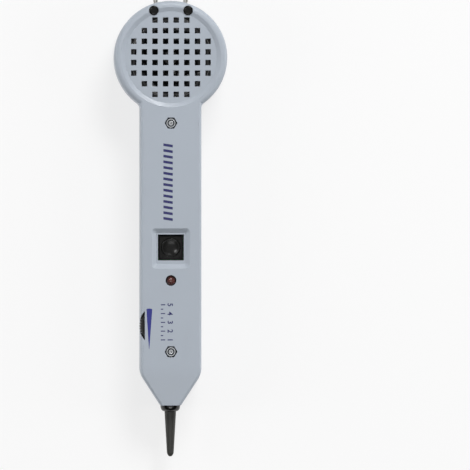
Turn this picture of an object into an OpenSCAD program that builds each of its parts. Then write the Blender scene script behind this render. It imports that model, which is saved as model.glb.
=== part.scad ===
// Inductive amplifier probe for tracing wires: a round speaker head, a slim handle with a 9 V
// battery bay behind a hinged door, a push button, a lamp, a volume thumbwheel and a slender tip.
// Frame: the probe lies on its back. +Z points out of the front face and +Y towards the head.
// The origin lies on the flat back, under the middle of the head. All sizes are in millimetres.

/* [Case] */
// Diameter of the round speaker head
head_d = 58; // [56:0.5:72]
// Length of the handle from the rim of the head to the start of the nose
handle_len = 133.6; // [133.6:0.2:170]
// Length of the tapered nose
nose_len = 16.1; // [15:0.1:24]
// Width of the nose at its end
nose_w = 10.5; // [10.2:0.1:14]
// Thickness of the nose at its end
nose_t = 20.6; // [10.2:0.1:25]
// Thickness of the case from front to back
case_t = 25.4; // [25.4:0.1:32]
// Thickness of the shell walls
wall = 2; // [1.6:0.1:2.6]
// Rounding of the long edges of the handle
edge_r = 1.6; // [0.8:0.1:2.6]
// Rounding of the rims of the head
head_edge_r = 2.8; // [1:0.1:3]
// Fillet between the head and the handle
neck_r = 2.5; // [1:0.1:6]

/* [Grille] */
// Spacing of the square sound holes
grille_pitch = 5.45; // [4.5:0.05:5.6]
// Side of each square sound hole
grille_hole = 2.8; // [1.5:0.1:3.4]
// Depth of the dish that holds the grille
dish_depth = 1; // [0.5:0.1:1.6]
// Width of the slope around the dish
dish_slope = 2.1; // [1:0.1:3]
// Width of the raised rim around the dish
rim_w = 3.3; // [2.8:0.1:4]
// Thickness of the grille plate
grille_t = 1.6; // [1.2:0.1:2.2]

/* [Battery bay] */
// Width of the 9 V battery
batt_w = 26.5; // [26:0.1:27]
// Thickness of the 9 V battery
batt_t = 17.5; // [17:0.1:17.6]
// Length of the 9 V battery without its terminals
batt_l = 46.4; // [45:0.1:47]
// Clearance on each side of the battery
bay_gap = 0.4; // [0.2:0.1:1]
// Clearance around the battery door
door_gap = 0.2; // [0.1:0.05:0.4]

/* [Push button] */
// Depth of the square dish around the button
well_depth = 1.8; // [1:0.1:2]
// Width of the slope on each side of the dish
well_slope = 2.3; // [1:0.1:2.6]
// Flat floor of the dish on the left and right of its opening
well_floor_w = 0.9; // [0.5:0.05:2]
// Flat floor of the dish above and below its opening
well_floor_l = 1.35; // [0.5:0.05:2]
// How far the middle of the dish lies below the middle of its opening
well_shift = 0.5; // [0:0.05:0.8]
// Gap between the switch housing and the dish's opening
well_gap = 0.65; // [0.3:0.05:1]
// How far the square switch housing reaches beyond the button
switch_side = 1.2; // [1:0.1:2]
// Diameter of the round push button
button_d = 9.6; // [7:0.1:9.8]
// Travel of the push button
button_travel = 1.2; // [0.8:0.1:1.4]

/* [Volume wheel] */
// Radius of the thumbwheel over its teeth
wheel_r = 10.6; // [9.5:0.1:10.8]
// Thickness of the thumbwheel
wheel_t = 3.4; // [2.4:0.1:3.6]
// Number of teeth around the thumbwheel
wheel_teeth = 60; // [40:2:72]
// How far the thumbwheel stands out of the side of the handle
wheel_proud = 0.45; // [0.3:0.05:1]

/* [Lamp] */
// Diameter of the lamp
led_d = 5; // [3:0.1:5]
// Gap between the lamp and its hole
led_gap = 0.25; // [0.1:0.05:0.8]

/* [Probe tip] */
// Length of the bare tip beyond its collar
tip_len = 23.3; // [15:0.1:40]
// Diameter of the tip at its collar
tip_root_d = 6; // [5:0.1:6.2]
// Diameter of the tip just behind its blunt point
tip_end_d = 3.1; // [2:0.1:4]
// Length of the domed collar
collar_len = 3.1; // [2:0.1:6]
// Diameter of the domed collar at the nose
collar_d = 10.2; // [10:0.1:10.2]

/* [Fasteners] */
// Diameter of the two case screws
screw_d = 3; // [2.5:0.1:3]
// Width across the flats of the case nuts
nut_af = 5.5; // [5:0.1:5.5]
// Thickness of the case nuts
nut_t = 2.4; // [1.8:0.1:2.4]
// Diameter of the two terminal nibs on the head
nib_d = 2.6; // [2:0.1:3]
// How far the nibs stand out beyond the top of the head
nib_out = 2.5; // [1:0.1:6]
// Distance of each nib from the middle line
nib_x = 7.75; // [6:0.05:9]
// Distance of each terminal cap from the middle line
cap_x = 8.8; // [8:0.1:10]
// Diameter of the terminal caps
cap_d = 4.8; // [4:0.1:5]

/* [Hidden] */
$fn = 96;
OVER = 1; // how far a cut runs past the surface that it opens

// Clearances
fit_gap = 0.1; // radial play of pins, screws and sleeves
run_gap = 0.05; // radial play of shafts and slides
seat_gap = 0.3; // play between a loose piece and its seat

// Case
head_r = head_d / 2;
handle_w = batt_w + 2 * (bay_gap + wall);
nose_y = -(head_r + handle_len);
nose_end_y = nose_y - nose_len;
mid_z = case_t / 2; // seam between the shells, and the axis of the probe tip
face_z = case_t - wall; // inside of the front wall
grille_z = case_t - dish_depth - grille_t; // inside of the grille plate
inner_w = handle_w - 2 * wall;
cavity_y = nose_y + 1; // end of the straight part of the cavity
lip_h = 1.4; // height of the lip that locates the shells
lip_t = wall * 0.45;
bend_l = 3; // half length of the rounded bend from handle to nose
RIM_STEPS = 10;
core_y = nose_y - 5.5; // end of the hollow in the nose

// Dish and grille
dish_r = head_r - rim_w;
dish_floor_r = dish_r - dish_slope;
GRILLE_ROWS = [4, 6, 8, 8, 8, 8, 6, 4];

// Case screws and nuts
screw_r = screw_d / 2;
screw_ys = [-(head_r + 4.8), nose_y + 11.5];
boss_r = 3.4;
head_screw_r = 2.8;
head_screw_t = 2;
counter_r = head_screw_r + 3 * fit_gap;
counter_z = 3.4; // depth of the recess for each screw head
nut_r = nut_af / 2 / cos(30);
nut_sink = 0.3; // how far the nuts lie below the front face
nut_z = case_t - nut_sink - nut_t;

// Battery bay
bay_y = screw_ys[0] - 4.4;
rib_t = 1.4;
door_y = bay_y - 2;
snap_y = bay_y - 2.7;
snap_t = 3.8;
batt_y = snap_y - snap_t - 0.2;
batt_end_y = batt_y - batt_l;
batt_z = wall + seat_gap;
batt_mid_z = batt_z + batt_t / 2;
bay_end_y = batt_end_y - seat_gap;
post_r = 2.1; // large battery terminal
stud_r = 1.6; // small battery terminal
terminal_h = 2.1;
terminal_x = 6.35;
door_w = inner_w - 2 * door_gap;
tab_x = 8; // middle of each hook tab on the door
tab_w = 4;
tab_t = 1;

// Circuit board and what it carries
board_t = 1.6;
part_room = 8.2; // height for parts between the board and the front wall
board_z = face_z - part_room; // top of the board
board_y = batt_end_y - seat_gap;
board_end_y = nose_y + 3;
board_w = inner_w - 2 * seat_gap;
peg_x = board_w / 2 - 1.9;
peg_y = board_y - 8.2;
peg_r = 1.5;
pin_r = 0.9;
switch_w = button_d + 2 * switch_side;
well_hole = switch_w + 2 * well_gap;
well_w = well_hole + 2 * (well_floor_w + well_slope);
well_l = well_hole + 2 * (well_floor_l + well_slope);
button_y = board_y - switch_w / 2;
well_y = button_y - well_shift;
led_y = well_y - well_l / 2 - 6.15;

// Switch
spring_wire = 0.4;
spring_turns = 3.5;
spring_solid = spring_wire * (spring_turns + 1) + fit_gap; // height of the spring when pressed flat
housing_floor = 1;
housing_cap = 1.2; // thickness of the housing above its cavity
flange_t = 1.4;
cavity_h = spring_solid + button_travel + flange_t + fit_gap;
housing_z = board_z + housing_floor + cavity_h + housing_cap;
button_r = button_d / 2;
flange_r = button_r + 0.6;
button_top = housing_z + 0.2;
spring_z = board_z + housing_floor;
button_low = spring_z + spring_solid + button_travel;
skirt_z = case_t - well_depth - 1.8;

// Volume wheel, beside the boss of the lower case screw
boss_gap = 0.485;
wheel_x = wheel_r - handle_w / 2 - wheel_proud;
wheel_y = screw_ys[1] + sqrt(pow(wheel_r + boss_gap + boss_r, 2) - wheel_x * wheel_x);
wheel_z = board_z + 4;
wheel_top = wheel_z + wheel_t;
pot_r = 7;
pot_t = 3.4;
shaft_r = 1.5;
chip_x = wheel_x + pot_r + 5.2;
chip_y = led_y - 18.3;
notch_in = wall + 0.25; // how far the notch for the wheel cuts into the front face
notch_gap = 0.25; // room around the wheel in its notch
notch_z = wheel_z - 0.6;

// Terminals on the head
nib_z = mid_z + 4.3;
nib_r = nib_d / 2;
nib_end_y = head_r + nib_out;
nib_sink = 0.5; // how far the thick part of each nib reaches back past the top of the head
nib_neck_r = nib_r - 0.4;
cap_y = sqrt(pow(head_r - wall - 1.44, 2) - cap_x * cap_x);
cap_r = cap_d / 2;
cap_z = case_t - 1.2;
stem_r = 0.9;
tongue_t = 0.8;

// Speaker
speaker_r = head_r - wall - 4.5;
gasket_t = 0.8;
speaker_z = grille_z - gasket_t; // top of the speaker's rim
rim_t = 1;
basket_r = speaker_r - 2.9;
basket_h = 9;
basket_z = speaker_z - basket_h;
magnet_r = 11.3;
magnet_t = 6.4;
post_ring_r = speaker_r - 1.2;
prop_r = 1.1;

// Probe tip, along -Y from the nose
sleeve_r = tip_root_d / 2 + 1;
groove_y = nose_end_y + 3.4; // start of the sleeve's flange, deeper in the nose
tip_y = nose_end_y - collar_len; // where the bare tip starts
tip_stop_y = groove_y + 1.5; // where the flange of the tip meets the sleeve
tip_back_y = tip_stop_y + 1.4;
flange_out = 0.6; // how far the sleeve's flange stands out
contact_y = tip_back_y + 3.2; // end of the contact's solder tail

// Wires
wire_r = 0.55;
board_wire_z = board_z + wire_r + 0.1; // where a wire lies on the board
wire_z = max(batt_z + batt_t + seat_gap + wire_r, board_wire_z); // wires run over the battery
drop_z = wire_z - 0.4583 * (wire_z - board_wire_z); // on the way down to the board
pad_half = 7;

// Points of a rectangle with rounded corners, centred on the origin
function round_rect(w, h, r, n = 6) = [
    for (q = [0:3], i = [0:n])
        let (a = 90 * q + 90 * i / n, sx = (q == 0 || q == 3) ? 1 : -1, sy = q < 2 ? 1 : -1)
            [sx * (w / 2 - r) + r * cos(a), sy * (h / 2 - r) + r * sin(a)]
];

// A point on the curve that runs smoothly through four points
function through(a, b, c, d, t) = (2 * b + (c - a) * t + (2 * a - 5 * b + 4 * c - d) * t * t
    + (3 * b - a - 3 * c + d) * t * t * t) / 2;

// The given points with two more on the smooth curve between each pair
function smooth(p) = let (last = len(p) - 1) [
    for (i = [0:last - 1], t = [0, 1 / 3, 2 / 3])
        through(p[max(i - 1, 0)], p[i], p[i + 1], p[min(i + 2, last)], t),
    p[last]
];

function unit(v) = v / norm(v);

// A round tube swept along a path that never runs along X
module tube(path, r, sides = 8) {
    last = len(path) - 1;
    points = [
        for (i = [0:last])
            let (t = unit(path[min(i + 1, last)] - path[max(i - 1, 0)]), u = unit(cross(t, [1, 0, 0])))
                for (j = [0:sides - 1])
                    let (a = 360 * j / sides) path[i] + r * (cos(a) * u + sin(a) * cross(t, u))
    ];
    walls = [
        for (i = [0:last - 1], j = [0:sides - 1])
            let (k = (j + 1) % sides, a = i * sides, b = a + sides) [a + j, b + j, b + k, a + k]
    ];
    first_cap = [for (j = [0:sides - 1]) j];
    last_cap = [for (j = [sides - 1:-1:0]) last * sides + j];
    polyhedron(points, concat(walls, [first_cap, last_cap]), convexity = 4);
}

// A box from its lowest to its highest corner
module box(low, high) {
    translate(low) cube(high - low);
}

// A cylinder along -Y that starts at y
module rod_y(x, y, z, r, length) {
    translate([x, y, z]) rotate([90, 0, 0]) cylinder(r = r, h = length);
}

// Both mirror images about the middle line
module both_sides() {
    children();
    mirror([1, 0, 0]) children();
}

// A thin slice of the case across the handle at y
module case_slice(y, w, t) {
    translate([0, y, mid_z]) rotate([90, 0, 0]) linear_extrude(0.01) polygon(round_rect(w, t, edge_r));
}

// A quarter of the rounded profile of the head's rim, as points on a circle about (x, z)
function rim_arc(z, first) = [
    for (i = [0:RIM_STEPS])
        let (a = first + 90 * i / RIM_STEPS)
            [head_r - head_edge_r + head_edge_r * cos(a), z + head_edge_r * sin(a)]
];

// The outer form of the whole case, before it is split and hollowed
module case_form() {
    slope_w = (handle_w - nose_w) / nose_len;
    slope_t = (case_t - nose_t) / nose_len;
    bends = 6;
    rotate_extrude() polygon(concat(
        [[0, 0]], rim_arc(head_edge_r, -90), rim_arc(case_t - head_edge_r, 0), [[0, case_t]]));
    translate([0, 0, mid_z]) rotate([90, 0, 0])
        linear_extrude(-nose_y - bend_l) polygon(round_rect(handle_w, case_t, edge_r));
    hull() {
        case_slice(nose_y + bend_l, handle_w, case_t);
        for (i = [1:bends]) {
            y = nose_y + bend_l - 2 * bend_l * i / bends;
            drop = pow(i / bends, 2) * bend_l;
            case_slice(y, handle_w - slope_w * drop, case_t - slope_t * drop);
        }
        case_slice(nose_end_y + 0.01, nose_w, nose_t);
    }
    neck_fillets();
}

// The concave fillets where the handle runs into the head
module neck_fillets() {
    fx = handle_w / 2 + neck_r;
    fy = -sqrt(pow(head_r + neck_r, 2) - fx * fx);
    edge = edge_r / 2;
    both_sides() translate([0, 0, edge]) difference() {
        linear_extrude(case_t - 2 * edge) polygon([
            [handle_w / 2 - 1, fy],
            [fx - neck_r, fy],
            [fx, fy],
            [fx * head_r / (head_r + neck_r), fy * head_r / (head_r + neck_r)],
            [handle_w / 2 - 1, fy * head_r / (head_r + neck_r)]
        ]);
        translate([fx, fy, -OVER]) cylinder(r = neck_r, h = case_t + 2 * OVER);
    }
}

// The hollow inside both shells
module case_hollow() {
    translate([0, 0, wall]) cylinder(r = head_r - wall, h = grille_z - wall);
    box([-inner_w / 2, cavity_y, wall], [inner_w / 2, -head_r * 0.6, face_z]);
    hull() {
        box([-inner_w / 2, cavity_y, wall], [inner_w / 2, cavity_y + 0.01, face_z]);
        box([-nose_w / 2 - 1, core_y, mid_z - nose_t / 2], [nose_w / 2 + 1, core_y + 0.01, mid_z + nose_t / 2]);
    }
}

// The channel through the nose that holds the tip, its collar and its contact
module nose_bore() {
    rod_y(0, core_y + OVER, mid_z, tip_root_d / 2 - 0.4, core_y + OVER - tip_back_y);
    rod_y(0, tip_back_y + run_gap, mid_z, sleeve_r + fit_gap - 0.1, tip_back_y - tip_stop_y + OVER);
    rod_y(0, tip_stop_y + run_gap, mid_z, sleeve_r + flange_out + fit_gap, tip_stop_y - groove_y + 2 * run_gap);
    rod_y(0, groove_y, mid_z, sleeve_r + fit_gap, groove_y - nose_end_y + OVER);
}

// The band between the lip and the outer wall, at the seam
module seam_band(gap, height) {
    inset = wall - lip_t - gap;
    translate([0, 0, mid_z - 0.01]) difference() {
        union() {
            cylinder(r = head_r - inset, h = height);
            box([-handle_w / 2 + inset, cavity_y, 0], [handle_w / 2 - inset, -head_r * 0.6, height]);
        }
        translate([0, 0, -OVER]) cylinder(r = head_r - wall, h = height + 2 * OVER);
        box([-inner_w / 2, cavity_y - OVER, -OVER], [inner_w / 2, -head_r * 0.6, height + OVER]);
    }
}

// A slab that holds everything between two heights
module between(z0, z1) {
    box([-head_d, nose_end_y - head_d, z0], [head_d, head_d, z1]);
}

// A straight hole with the square dish's outline at its mouth and its floor
module button_well() {
    hull() {
        translate([0, well_y, case_t]) linear_extrude(0.01 + OVER)
            polygon(round_rect(well_w, well_l, 2));
        translate([0, well_y, case_t - well_depth]) linear_extrude(0.01)
            polygon(round_rect(well_w - 2 * well_slope, well_l - 2 * well_slope, 0.8));
    }
    box([-well_hole / 2, button_y - well_hole / 2, skirt_z - OVER],
        [well_hole / 2, button_y + well_hole / 2, case_t]);
}

// The cut through the left side that lets the rim of the wheel stand out
module wheel_notch() {
    reach = wheel_r + notch_gap;
    intersection() {
        translate([wheel_x, wheel_y, notch_z]) cylinder(r = reach, h = case_t);
        box([-handle_w / 2 - OVER, wheel_y - reach, notch_z],
            [-handle_w / 2 + notch_in, wheel_y + reach, case_t + OVER]);
    }
}

// The square sound holes
module grille_holes() {
    rows = len(GRILLE_ROWS);
    for (row = [0:rows - 1], i = [0:GRILLE_ROWS[row] - 1])
        translate([(i - (GRILLE_ROWS[row] - 1) / 2) * grille_pitch, (row - (rows - 1) / 2) * grille_pitch, grille_z])
            cube([grille_hole, grille_hole, 4 * grille_t], center = true);
}

// Front half of the case, with the grille, the dish, the button's well and the nut pockets
module front_shell() {
    color([0.65, 0.68, 0.71]) difference() {
        union() {
            difference() {
                intersection() {
                    case_form();
                    between(mid_z, case_t + OVER);
                }
                case_hollow();
                seam_band(fit_gap, lip_h + 0.2);
            }
            box([-well_w / 2 - 1.5, well_y - well_l / 2 - 1.5, skirt_z],
                [well_w / 2 + 1.5, well_y + well_l / 2 + 1.5, face_z + 0.5]);
            translate([0, screw_ys[0], mid_z]) cylinder(r = boss_r, h = face_z + 0.5 - mid_z);
            translate([0, screw_ys[1], board_z]) cylinder(r = boss_r, h = face_z + 0.5 - board_z);
            both_sides() translate([peg_x, peg_y, board_z])
                cylinder(r = peg_r, h = face_z + 0.5 - board_z);
            translate([0, 0, grille_z - 2]) difference() {
                cylinder(r = speaker_r + fit_gap + 1, h = 2.5);
                translate([0, 0, -OVER]) cylinder(r = speaker_r + fit_gap, h = 4);
            }
        }
        translate([0, 0, case_t - dish_depth]) {
            cylinder(r1 = dish_floor_r, r2 = dish_r, h = dish_depth);
            translate([0, 0, dish_depth - 0.001]) cylinder(r = dish_r, h = OVER);
        }
        grille_holes();
        button_well();
        translate([0, led_y, face_z - OVER]) cylinder(r = led_d / 2 + led_gap, h = wall + 2 * OVER);
        for (y = screw_ys) translate([0, y, 0]) {
            cylinder(r = screw_r + fit_gap, h = case_t + OVER);
            translate([0, 0, nut_z]) cylinder(r = nut_r + fit_gap, h = nut_t + OVER, $fn = 6);
        }
        wheel_notch();
        both_sides() {
            translate([cap_x, cap_y, cap_z]) cylinder(r = cap_r + fit_gap, h = 2 * OVER);
            translate([cap_x, cap_y, grille_z - OVER]) cylinder(r = stem_r + run_gap, h = 5);
            rod_y(nib_x, head_r, nib_z, nib_neck_r + run_gap, wall + 4);
        }
        nose_bore();
    }
}

// Rear half of the case, with the bosses, the battery bay and the props for the speaker
module rear_shell() {
    color([0.63, 0.66, 0.69]) difference() {
        union() {
            difference() {
                intersection() {
                    case_form();
                    between(-OVER, mid_z);
                }
                case_hollow();
            }
            seam_band(0, lip_h);
            for (i = [0, 1]) translate([0, screw_ys[i], 0]) {
                top = i == 0 ? mid_z : board_z - board_t;
                translate([0, 0, wall / 2]) cylinder(r = boss_r, h = top - wall / 2);
                translate([0, 0, wall / 2]) cylinder(r = counter_r + 1.6, h = counter_z + 1);
            }
            for (y = [bay_y + rib_t, bay_end_y])
                box([-inner_w / 2 - 0.5, y - rib_t, wall / 2], [inner_w / 2 + 0.5, y, mid_z - 1]);
            both_sides() translate([peg_x, peg_y, wall / 2]) {
                cylinder(r = peg_r, h = board_z - board_t - wall / 2);
                cylinder(r = pin_r, h = board_z - wall / 2 - 0.1);
            }
            for (a = [45:90:315]) rotate(a) translate([post_ring_r, 0, wall / 2])
                cylinder(r = prop_r, h = speaker_z - rim_t - wall / 2);
        }
        box([-inner_w / 2, bay_end_y, -OVER], [inner_w / 2, door_y, wall + 0.01]);
        box([-tab_x - tab_w, bay_end_y - 0.9, -OVER], [tab_x + tab_w, bay_end_y + OVER, 0.9]);
        for (y = screw_ys) translate([0, y, -OVER]) {
            cylinder(r = screw_r + fit_gap, h = case_t);
            cylinder(r = counter_r, h = counter_z + OVER);
        }
        nose_bore();
    }
}

// Battery door: a plate with two hook tabs at the head's end and a thumb tongue at the other
module battery_door() {
    low_y = bay_end_y + door_gap;
    high_y = door_y - door_gap;
    tongue_w = 12;
    tongue_l = 9;
    slot_w = 0.8;
    color([0.62, 0.65, 0.68]) difference() {
        union() {
            box([-door_w / 2, low_y, 0], [door_w / 2, high_y, wall]);
            both_sides() {
                box([tab_x - tab_w / 2, high_y - 3, wall - 0.5],
                    [tab_x + tab_w / 2, high_y, wall + 0.2 + tab_t]);
                box([tab_x - tab_w / 2, high_y - OVER, wall + 0.2],
                    [tab_x + tab_w / 2, bay_y - 0.2, wall + 0.2 + tab_t]);
            }
        }
        both_sides() box([tongue_w / 2, low_y - OVER, -OVER],
            [tongue_w / 2 + slot_w, low_y + tongue_l, wall + OVER]);
        for (i = [0:4])
            box([-tongue_w / 2 + 1.5, low_y + 1.6 + i * 1.5, -OVER],
                [tongue_w / 2 - 1.5, low_y + 2.3 + i * 1.5, 0.4]);
    }
}

// The two long screws that clamp the shells, entered from the back
module case_screws() {
    color([0.8, 0.8, 0.78]) for (y = screw_ys) translate([0, y, 0]) difference() {
        union() {
            translate([0, 0, counter_z - head_screw_t]) cylinder(r = head_screw_r, h = head_screw_t);
            cylinder_top = case_t - nut_sink + 0.1;
            translate([0, 0, counter_z - 0.1]) cylinder(r = screw_r, h = cylinder_top - counter_z - 0.2);
            translate([0, 0, cylinder_top - 0.3]) cylinder(r1 = screw_r, r2 = screw_r - 0.3, h = 0.3);
        }
        for (a = [0, 90]) translate([0, 0, counter_z - head_screw_t]) rotate(a)
            cube([3.2, 0.7, 2.2], center = true);
    }
}

// The hexagonal nuts that show in the front face
module case_nuts() {
    color([0.75, 0.75, 0.74]) for (i = [0, 1]) translate([0, screw_ys[i], nut_z]) difference() {
        cylinder(r = nut_r, h = nut_t, $fn = 6);
        translate([0, 0, -OVER]) cylinder(r = screw_r + run_gap, h = nut_t + 2 * OVER);
    }
}

// The two round metal nibs that stand out of the top of the head, each with its flat tongue
module terminal_nibs() {
    low_z = nib_z - tongue_t / 2;
    neck_y = cap_y + 1.6; // inner end of the round neck
    color([0.78, 0.78, 0.76]) both_sides() {
        rod_y(nib_x, nib_end_y, nib_z, nib_r, nib_out + nib_sink);
        rod_y(nib_x, head_r, nib_z, nib_neck_r, head_r - neck_y);
        difference() {
            union() {
                intersection() {
                    box([nib_x - 1.5, cap_y - 2.2, low_z], [cap_x + 2, neck_y, low_z + tongue_t]);
                    translate([0, 0, low_z - OVER]) cylinder(r = head_r - wall - seat_gap, h = 4 * OVER);
                }
                box([nib_x - nib_neck_r, cap_y, low_z], [nib_x + nib_neck_r, neck_y, low_z + tongue_t]);
            }
            translate([cap_x, cap_y, low_z - OVER]) cylinder(r = stem_r + run_gap, h = 4 * OVER);
        }
    }
}

// The domed black caps whose stems hold the tongues of the nibs
module terminal_caps() {
    dome = 0.5;
    flange = 0.6;
    stem_l = cap_z - nib_z + tongue_t / 2 + 1.2;
    color([0.06, 0.06, 0.06]) both_sides() translate([cap_x, cap_y, cap_z]) rotate_extrude() polygon([
        [0, -stem_l],
        [stem_r, -stem_l],
        [stem_r, 0],
        [cap_r, 0],
        [cap_r, flange],
        for (i = [1:7]) [cap_r * cos(i * 90 / 7), flange + dome * sin(i * 90 / 7)]
    ]);
}

// The push-on washers that lock the stems under the tongues
module terminal_washers() {
    color([0.7, 0.7, 0.68]) both_sides() translate([cap_x, cap_y, nib_z - tongue_t / 2 - 0.8])
        difference() {
            cylinder(r = 1.4, h = 0.8);
            translate([0, 0, -OVER]) cylinder(r = stem_r + 0.02, h = 2 + OVER);
        }
}

// Soft ring between the speaker's rim and the grille plate
module speaker_gasket() {
    color([0.15, 0.15, 0.15]) translate([0, 0, speaker_z]) difference() {
        cylinder(r = speaker_r, h = gasket_t);
        translate([0, 0, -OVER]) cylinder(r = basket_r + 1.2, h = gasket_t + 2 * OVER);
    }
}

// Pressed frame of the speaker: a rim, a conical basket with four windows and a back ring
module speaker_frame() {
    color([0.55, 0.55, 0.55]) difference() {
        rotate_extrude() polygon([
            [basket_r, speaker_z],
            [speaker_r, speaker_z],
            [speaker_r, speaker_z - rim_t],
            [basket_r, speaker_z - rim_t],
            [magnet_r, basket_z],
            [6.6, basket_z],
            [6.6, basket_z + 0.9],
            [magnet_r - 0.9, basket_z + 0.9],
            [basket_r - 1, speaker_z]
        ]);
        for (a = [0:90:270]) rotate(a) translate([basket_r - 3.6, 0, speaker_z - basket_h / 2])
            cube([9, 11, 4], center = true);
    }
}

// Cone of the speaker with its surround, its dust cap and its voice coil's former
module speaker_cone() {
    t = 0.4;
    outer = basket_r - 1.4;
    coil_r = 5.4;
    cone_z = speaker_z - 4.6;
    color([0.72, 0.72, 0.7]) {
        rotate_extrude() polygon([
            [basket_r + 1, speaker_z],
            [basket_r + 1, speaker_z + t],
            [outer, speaker_z + t],
            [coil_r, cone_z + t],
            for (i = [1:8]) [coil_r * cos(i * 11.25), cone_z + t + 1.8 * sin(i * 11.25)],
            [0, cone_z + 1.8],
            for (i = [7:-1:1]) [(coil_r - t) * cos(i * 11.25), cone_z + 1.8 * sin(i * 11.25)],
            [coil_r - t, basket_z + 0.3],
            [coil_r, basket_z + 0.3],
            [coil_r, cone_z],
            [outer, speaker_z]
        ]);
    }
}

// Ring magnet behind the speaker with its pole piece
module speaker_magnet() {
    pole_r = 4.6;
    color([0.25, 0.25, 0.26]) {
        translate([0, 0, basket_z - magnet_t]) difference() {
            cylinder(r = magnet_r, h = magnet_t);
            translate([0, 0, 1.4]) cylinder(r = 6.4, h = magnet_t);
        }
        translate([0, 0, basket_z - magnet_t]) cylinder(r = pole_r, h = magnet_t + 1.5);
    }
}

// Tag strip under the speaker's rim: two tinned tags on one board
module speaker_tags() {
    strip_y = 1 - speaker_r;
    strip_z = speaker_z - rim_t;
    color([0.6, 0.45, 0.25]) {
        box([-5.5, strip_y, strip_z - 0.8], [5.5, strip_y + 1.6, strip_z]);
        both_sides() box([2.5, strip_y + 0.3, strip_z - 3.4], [4.5, strip_y + 0.8, strip_z - 0.8]);
    }
}

// A pair of wires from the speaker's tags over the battery to the board
module speaker_leads() {
    strip_y = 1 - speaker_r;
    run_x = 10.3;
    color([0.5, 0.5, 0.52]) both_sides() tube(smooth([
        [3.5, strip_y - wire_r, speaker_z - 3.6],
        [4.2, strip_y - 3, speaker_z - 4],
        [7.6, screw_ys[0] + 4, wire_z - 3],
        [run_x, screw_ys[0] - 4, wire_z],
        [run_x, batt_y - 4, wire_z],
        [run_x, batt_mid_y(), wire_z],
        [run_x, batt_end_y + 5, wire_z],
        [run_x, batt_end_y - 0.8, wire_z],
        [run_x, batt_end_y - 2.4, drop_z],
        [run_x, board_y - 3.4, board_wire_z]
    ]), wire_r);
}

// The wires from the nibs around the speaker and over the battery to the board
module terminal_leads() {
    run_x = 12.5;
    low_z = wall + 3;
    inner_r = post_ring_r * 0.6808; // the wires pass inside the props of the speaker
    color([0.75, 0.7, 0.3]) both_sides() tube(smooth([
        [cap_x + 1.1, cap_y - 2.3 - wire_r, nib_z - 0.4],
        [cap_x + 3, cap_y - 5, nib_z - 5],
        [inner_r, inner_r * 0.7, low_z + 1],
        [inner_r * 1.04, 0, low_z],
        [inner_r * 0.9, -inner_r * 1.1, low_z + 1],
        [10.6, -head_r * 0.9, low_z + 6],
        [run_x - 1.4, screw_ys[0], wire_z - 3],
        [run_x, bay_y - 3, wire_z],
        [run_x, batt_mid_y(), wire_z],
        [run_x, batt_end_y + 5, wire_z],
        [run_x, batt_end_y - 0.8, wire_z],
        [run_x, batt_end_y - 2.4, drop_z],
        [run_x, board_y - 3.4, board_wire_z]
    ]), wire_r);
}

function batt_mid_y() = (batt_y + batt_end_y) / 2;

// One of the two wires from the battery snap to the board
module battery_lead(side) {
    run_x = 8.2;
    tube(smooth([
        [side * terminal_x, snap_y + wire_r + 0.05, batt_mid_z + 5],
        [side * (terminal_x + 0.6), snap_y + 1.1, batt_mid_z + 7.4],
        [side * run_x, snap_y - 1.6, wire_z],
        [side * run_x, batt_y - 6, wire_z],
        [side * run_x, batt_mid_y(), wire_z],
        [side * run_x, batt_end_y + 5, wire_z],
        [side * run_x, batt_end_y - 0.8, wire_z],
        [side * run_x, batt_end_y - 2.4, drop_z],
        [side * run_x, board_y - 3.4, board_wire_z]
    ]), wire_r);
}

module battery_lead_red() {
    color([0.7, 0.08, 0.06]) battery_lead(1);
}

module battery_lead_black() {
    color([0.07, 0.07, 0.07]) battery_lead(-1);
}

// 9 V battery, lying on the door with its terminals towards the head
module battery() {
    color([0.3, 0.32, 0.35]) {
        translate([0, batt_y, batt_mid_z]) rotate([90, 0, 0])
            linear_extrude(batt_l) polygon(round_rect(batt_w, batt_t, 1.6));
        rod_y(-terminal_x, batt_y + terminal_h, batt_mid_z, post_r, terminal_h + 0.5);
        rod_y(terminal_x, batt_y + terminal_h, batt_mid_z, stud_r, terminal_h + 0.5);
    }
}

// Moulded clip that snaps onto the battery's terminals
module battery_snap() {
    color([0.08, 0.08, 0.08]) difference() {
        translate([0, snap_y, batt_mid_z]) rotate([90, 0, 0])
            linear_extrude(snap_t) polygon(round_rect(25, 12, 3));
        for (side = [-1, 1])
            rod_y(side * terminal_x, batt_y + terminal_h + 0.3, batt_mid_z, post_r + run_gap, 6);
    }
}

// Foam strip under the front wall that keeps the battery from rattling
module battery_pad() {
    color([0.12, 0.12, 0.13])
        box([-pad_half, batt_end_y + 6, batt_z + batt_t + 0.1], [pad_half, batt_y - 6, face_z]);
}

// Circuit board with holes for the lower screw and the two locating pins
module circuit_board() {
    color([0.1, 0.35, 0.18]) difference() {
        box([-board_w / 2, board_end_y, board_z - board_t], [board_w / 2, board_y, board_z]);
        translate([0, screw_ys[1], 0]) cylinder(r = screw_r + fit_gap, h = case_t);
        both_sides() translate([peg_x, peg_y, 0]) cylinder(r = pin_r + fit_gap, h = case_t);
    }
}

// Square housing that guides the push button
module switch_housing() {
    color([0.05, 0.05, 0.05]) difference() {
        box([-switch_w / 2, button_y - switch_w / 2, board_z], [switch_w / 2, button_y + switch_w / 2, housing_z]);
        translate([0, button_y, spring_z]) cylinder(r = flange_r + 2 * fit_gap, h = cavity_h);
        translate([0, button_y, spring_z + OVER]) cylinder(r = button_r + run_gap, h = cavity_h + housing_cap);
    }
}

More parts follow.
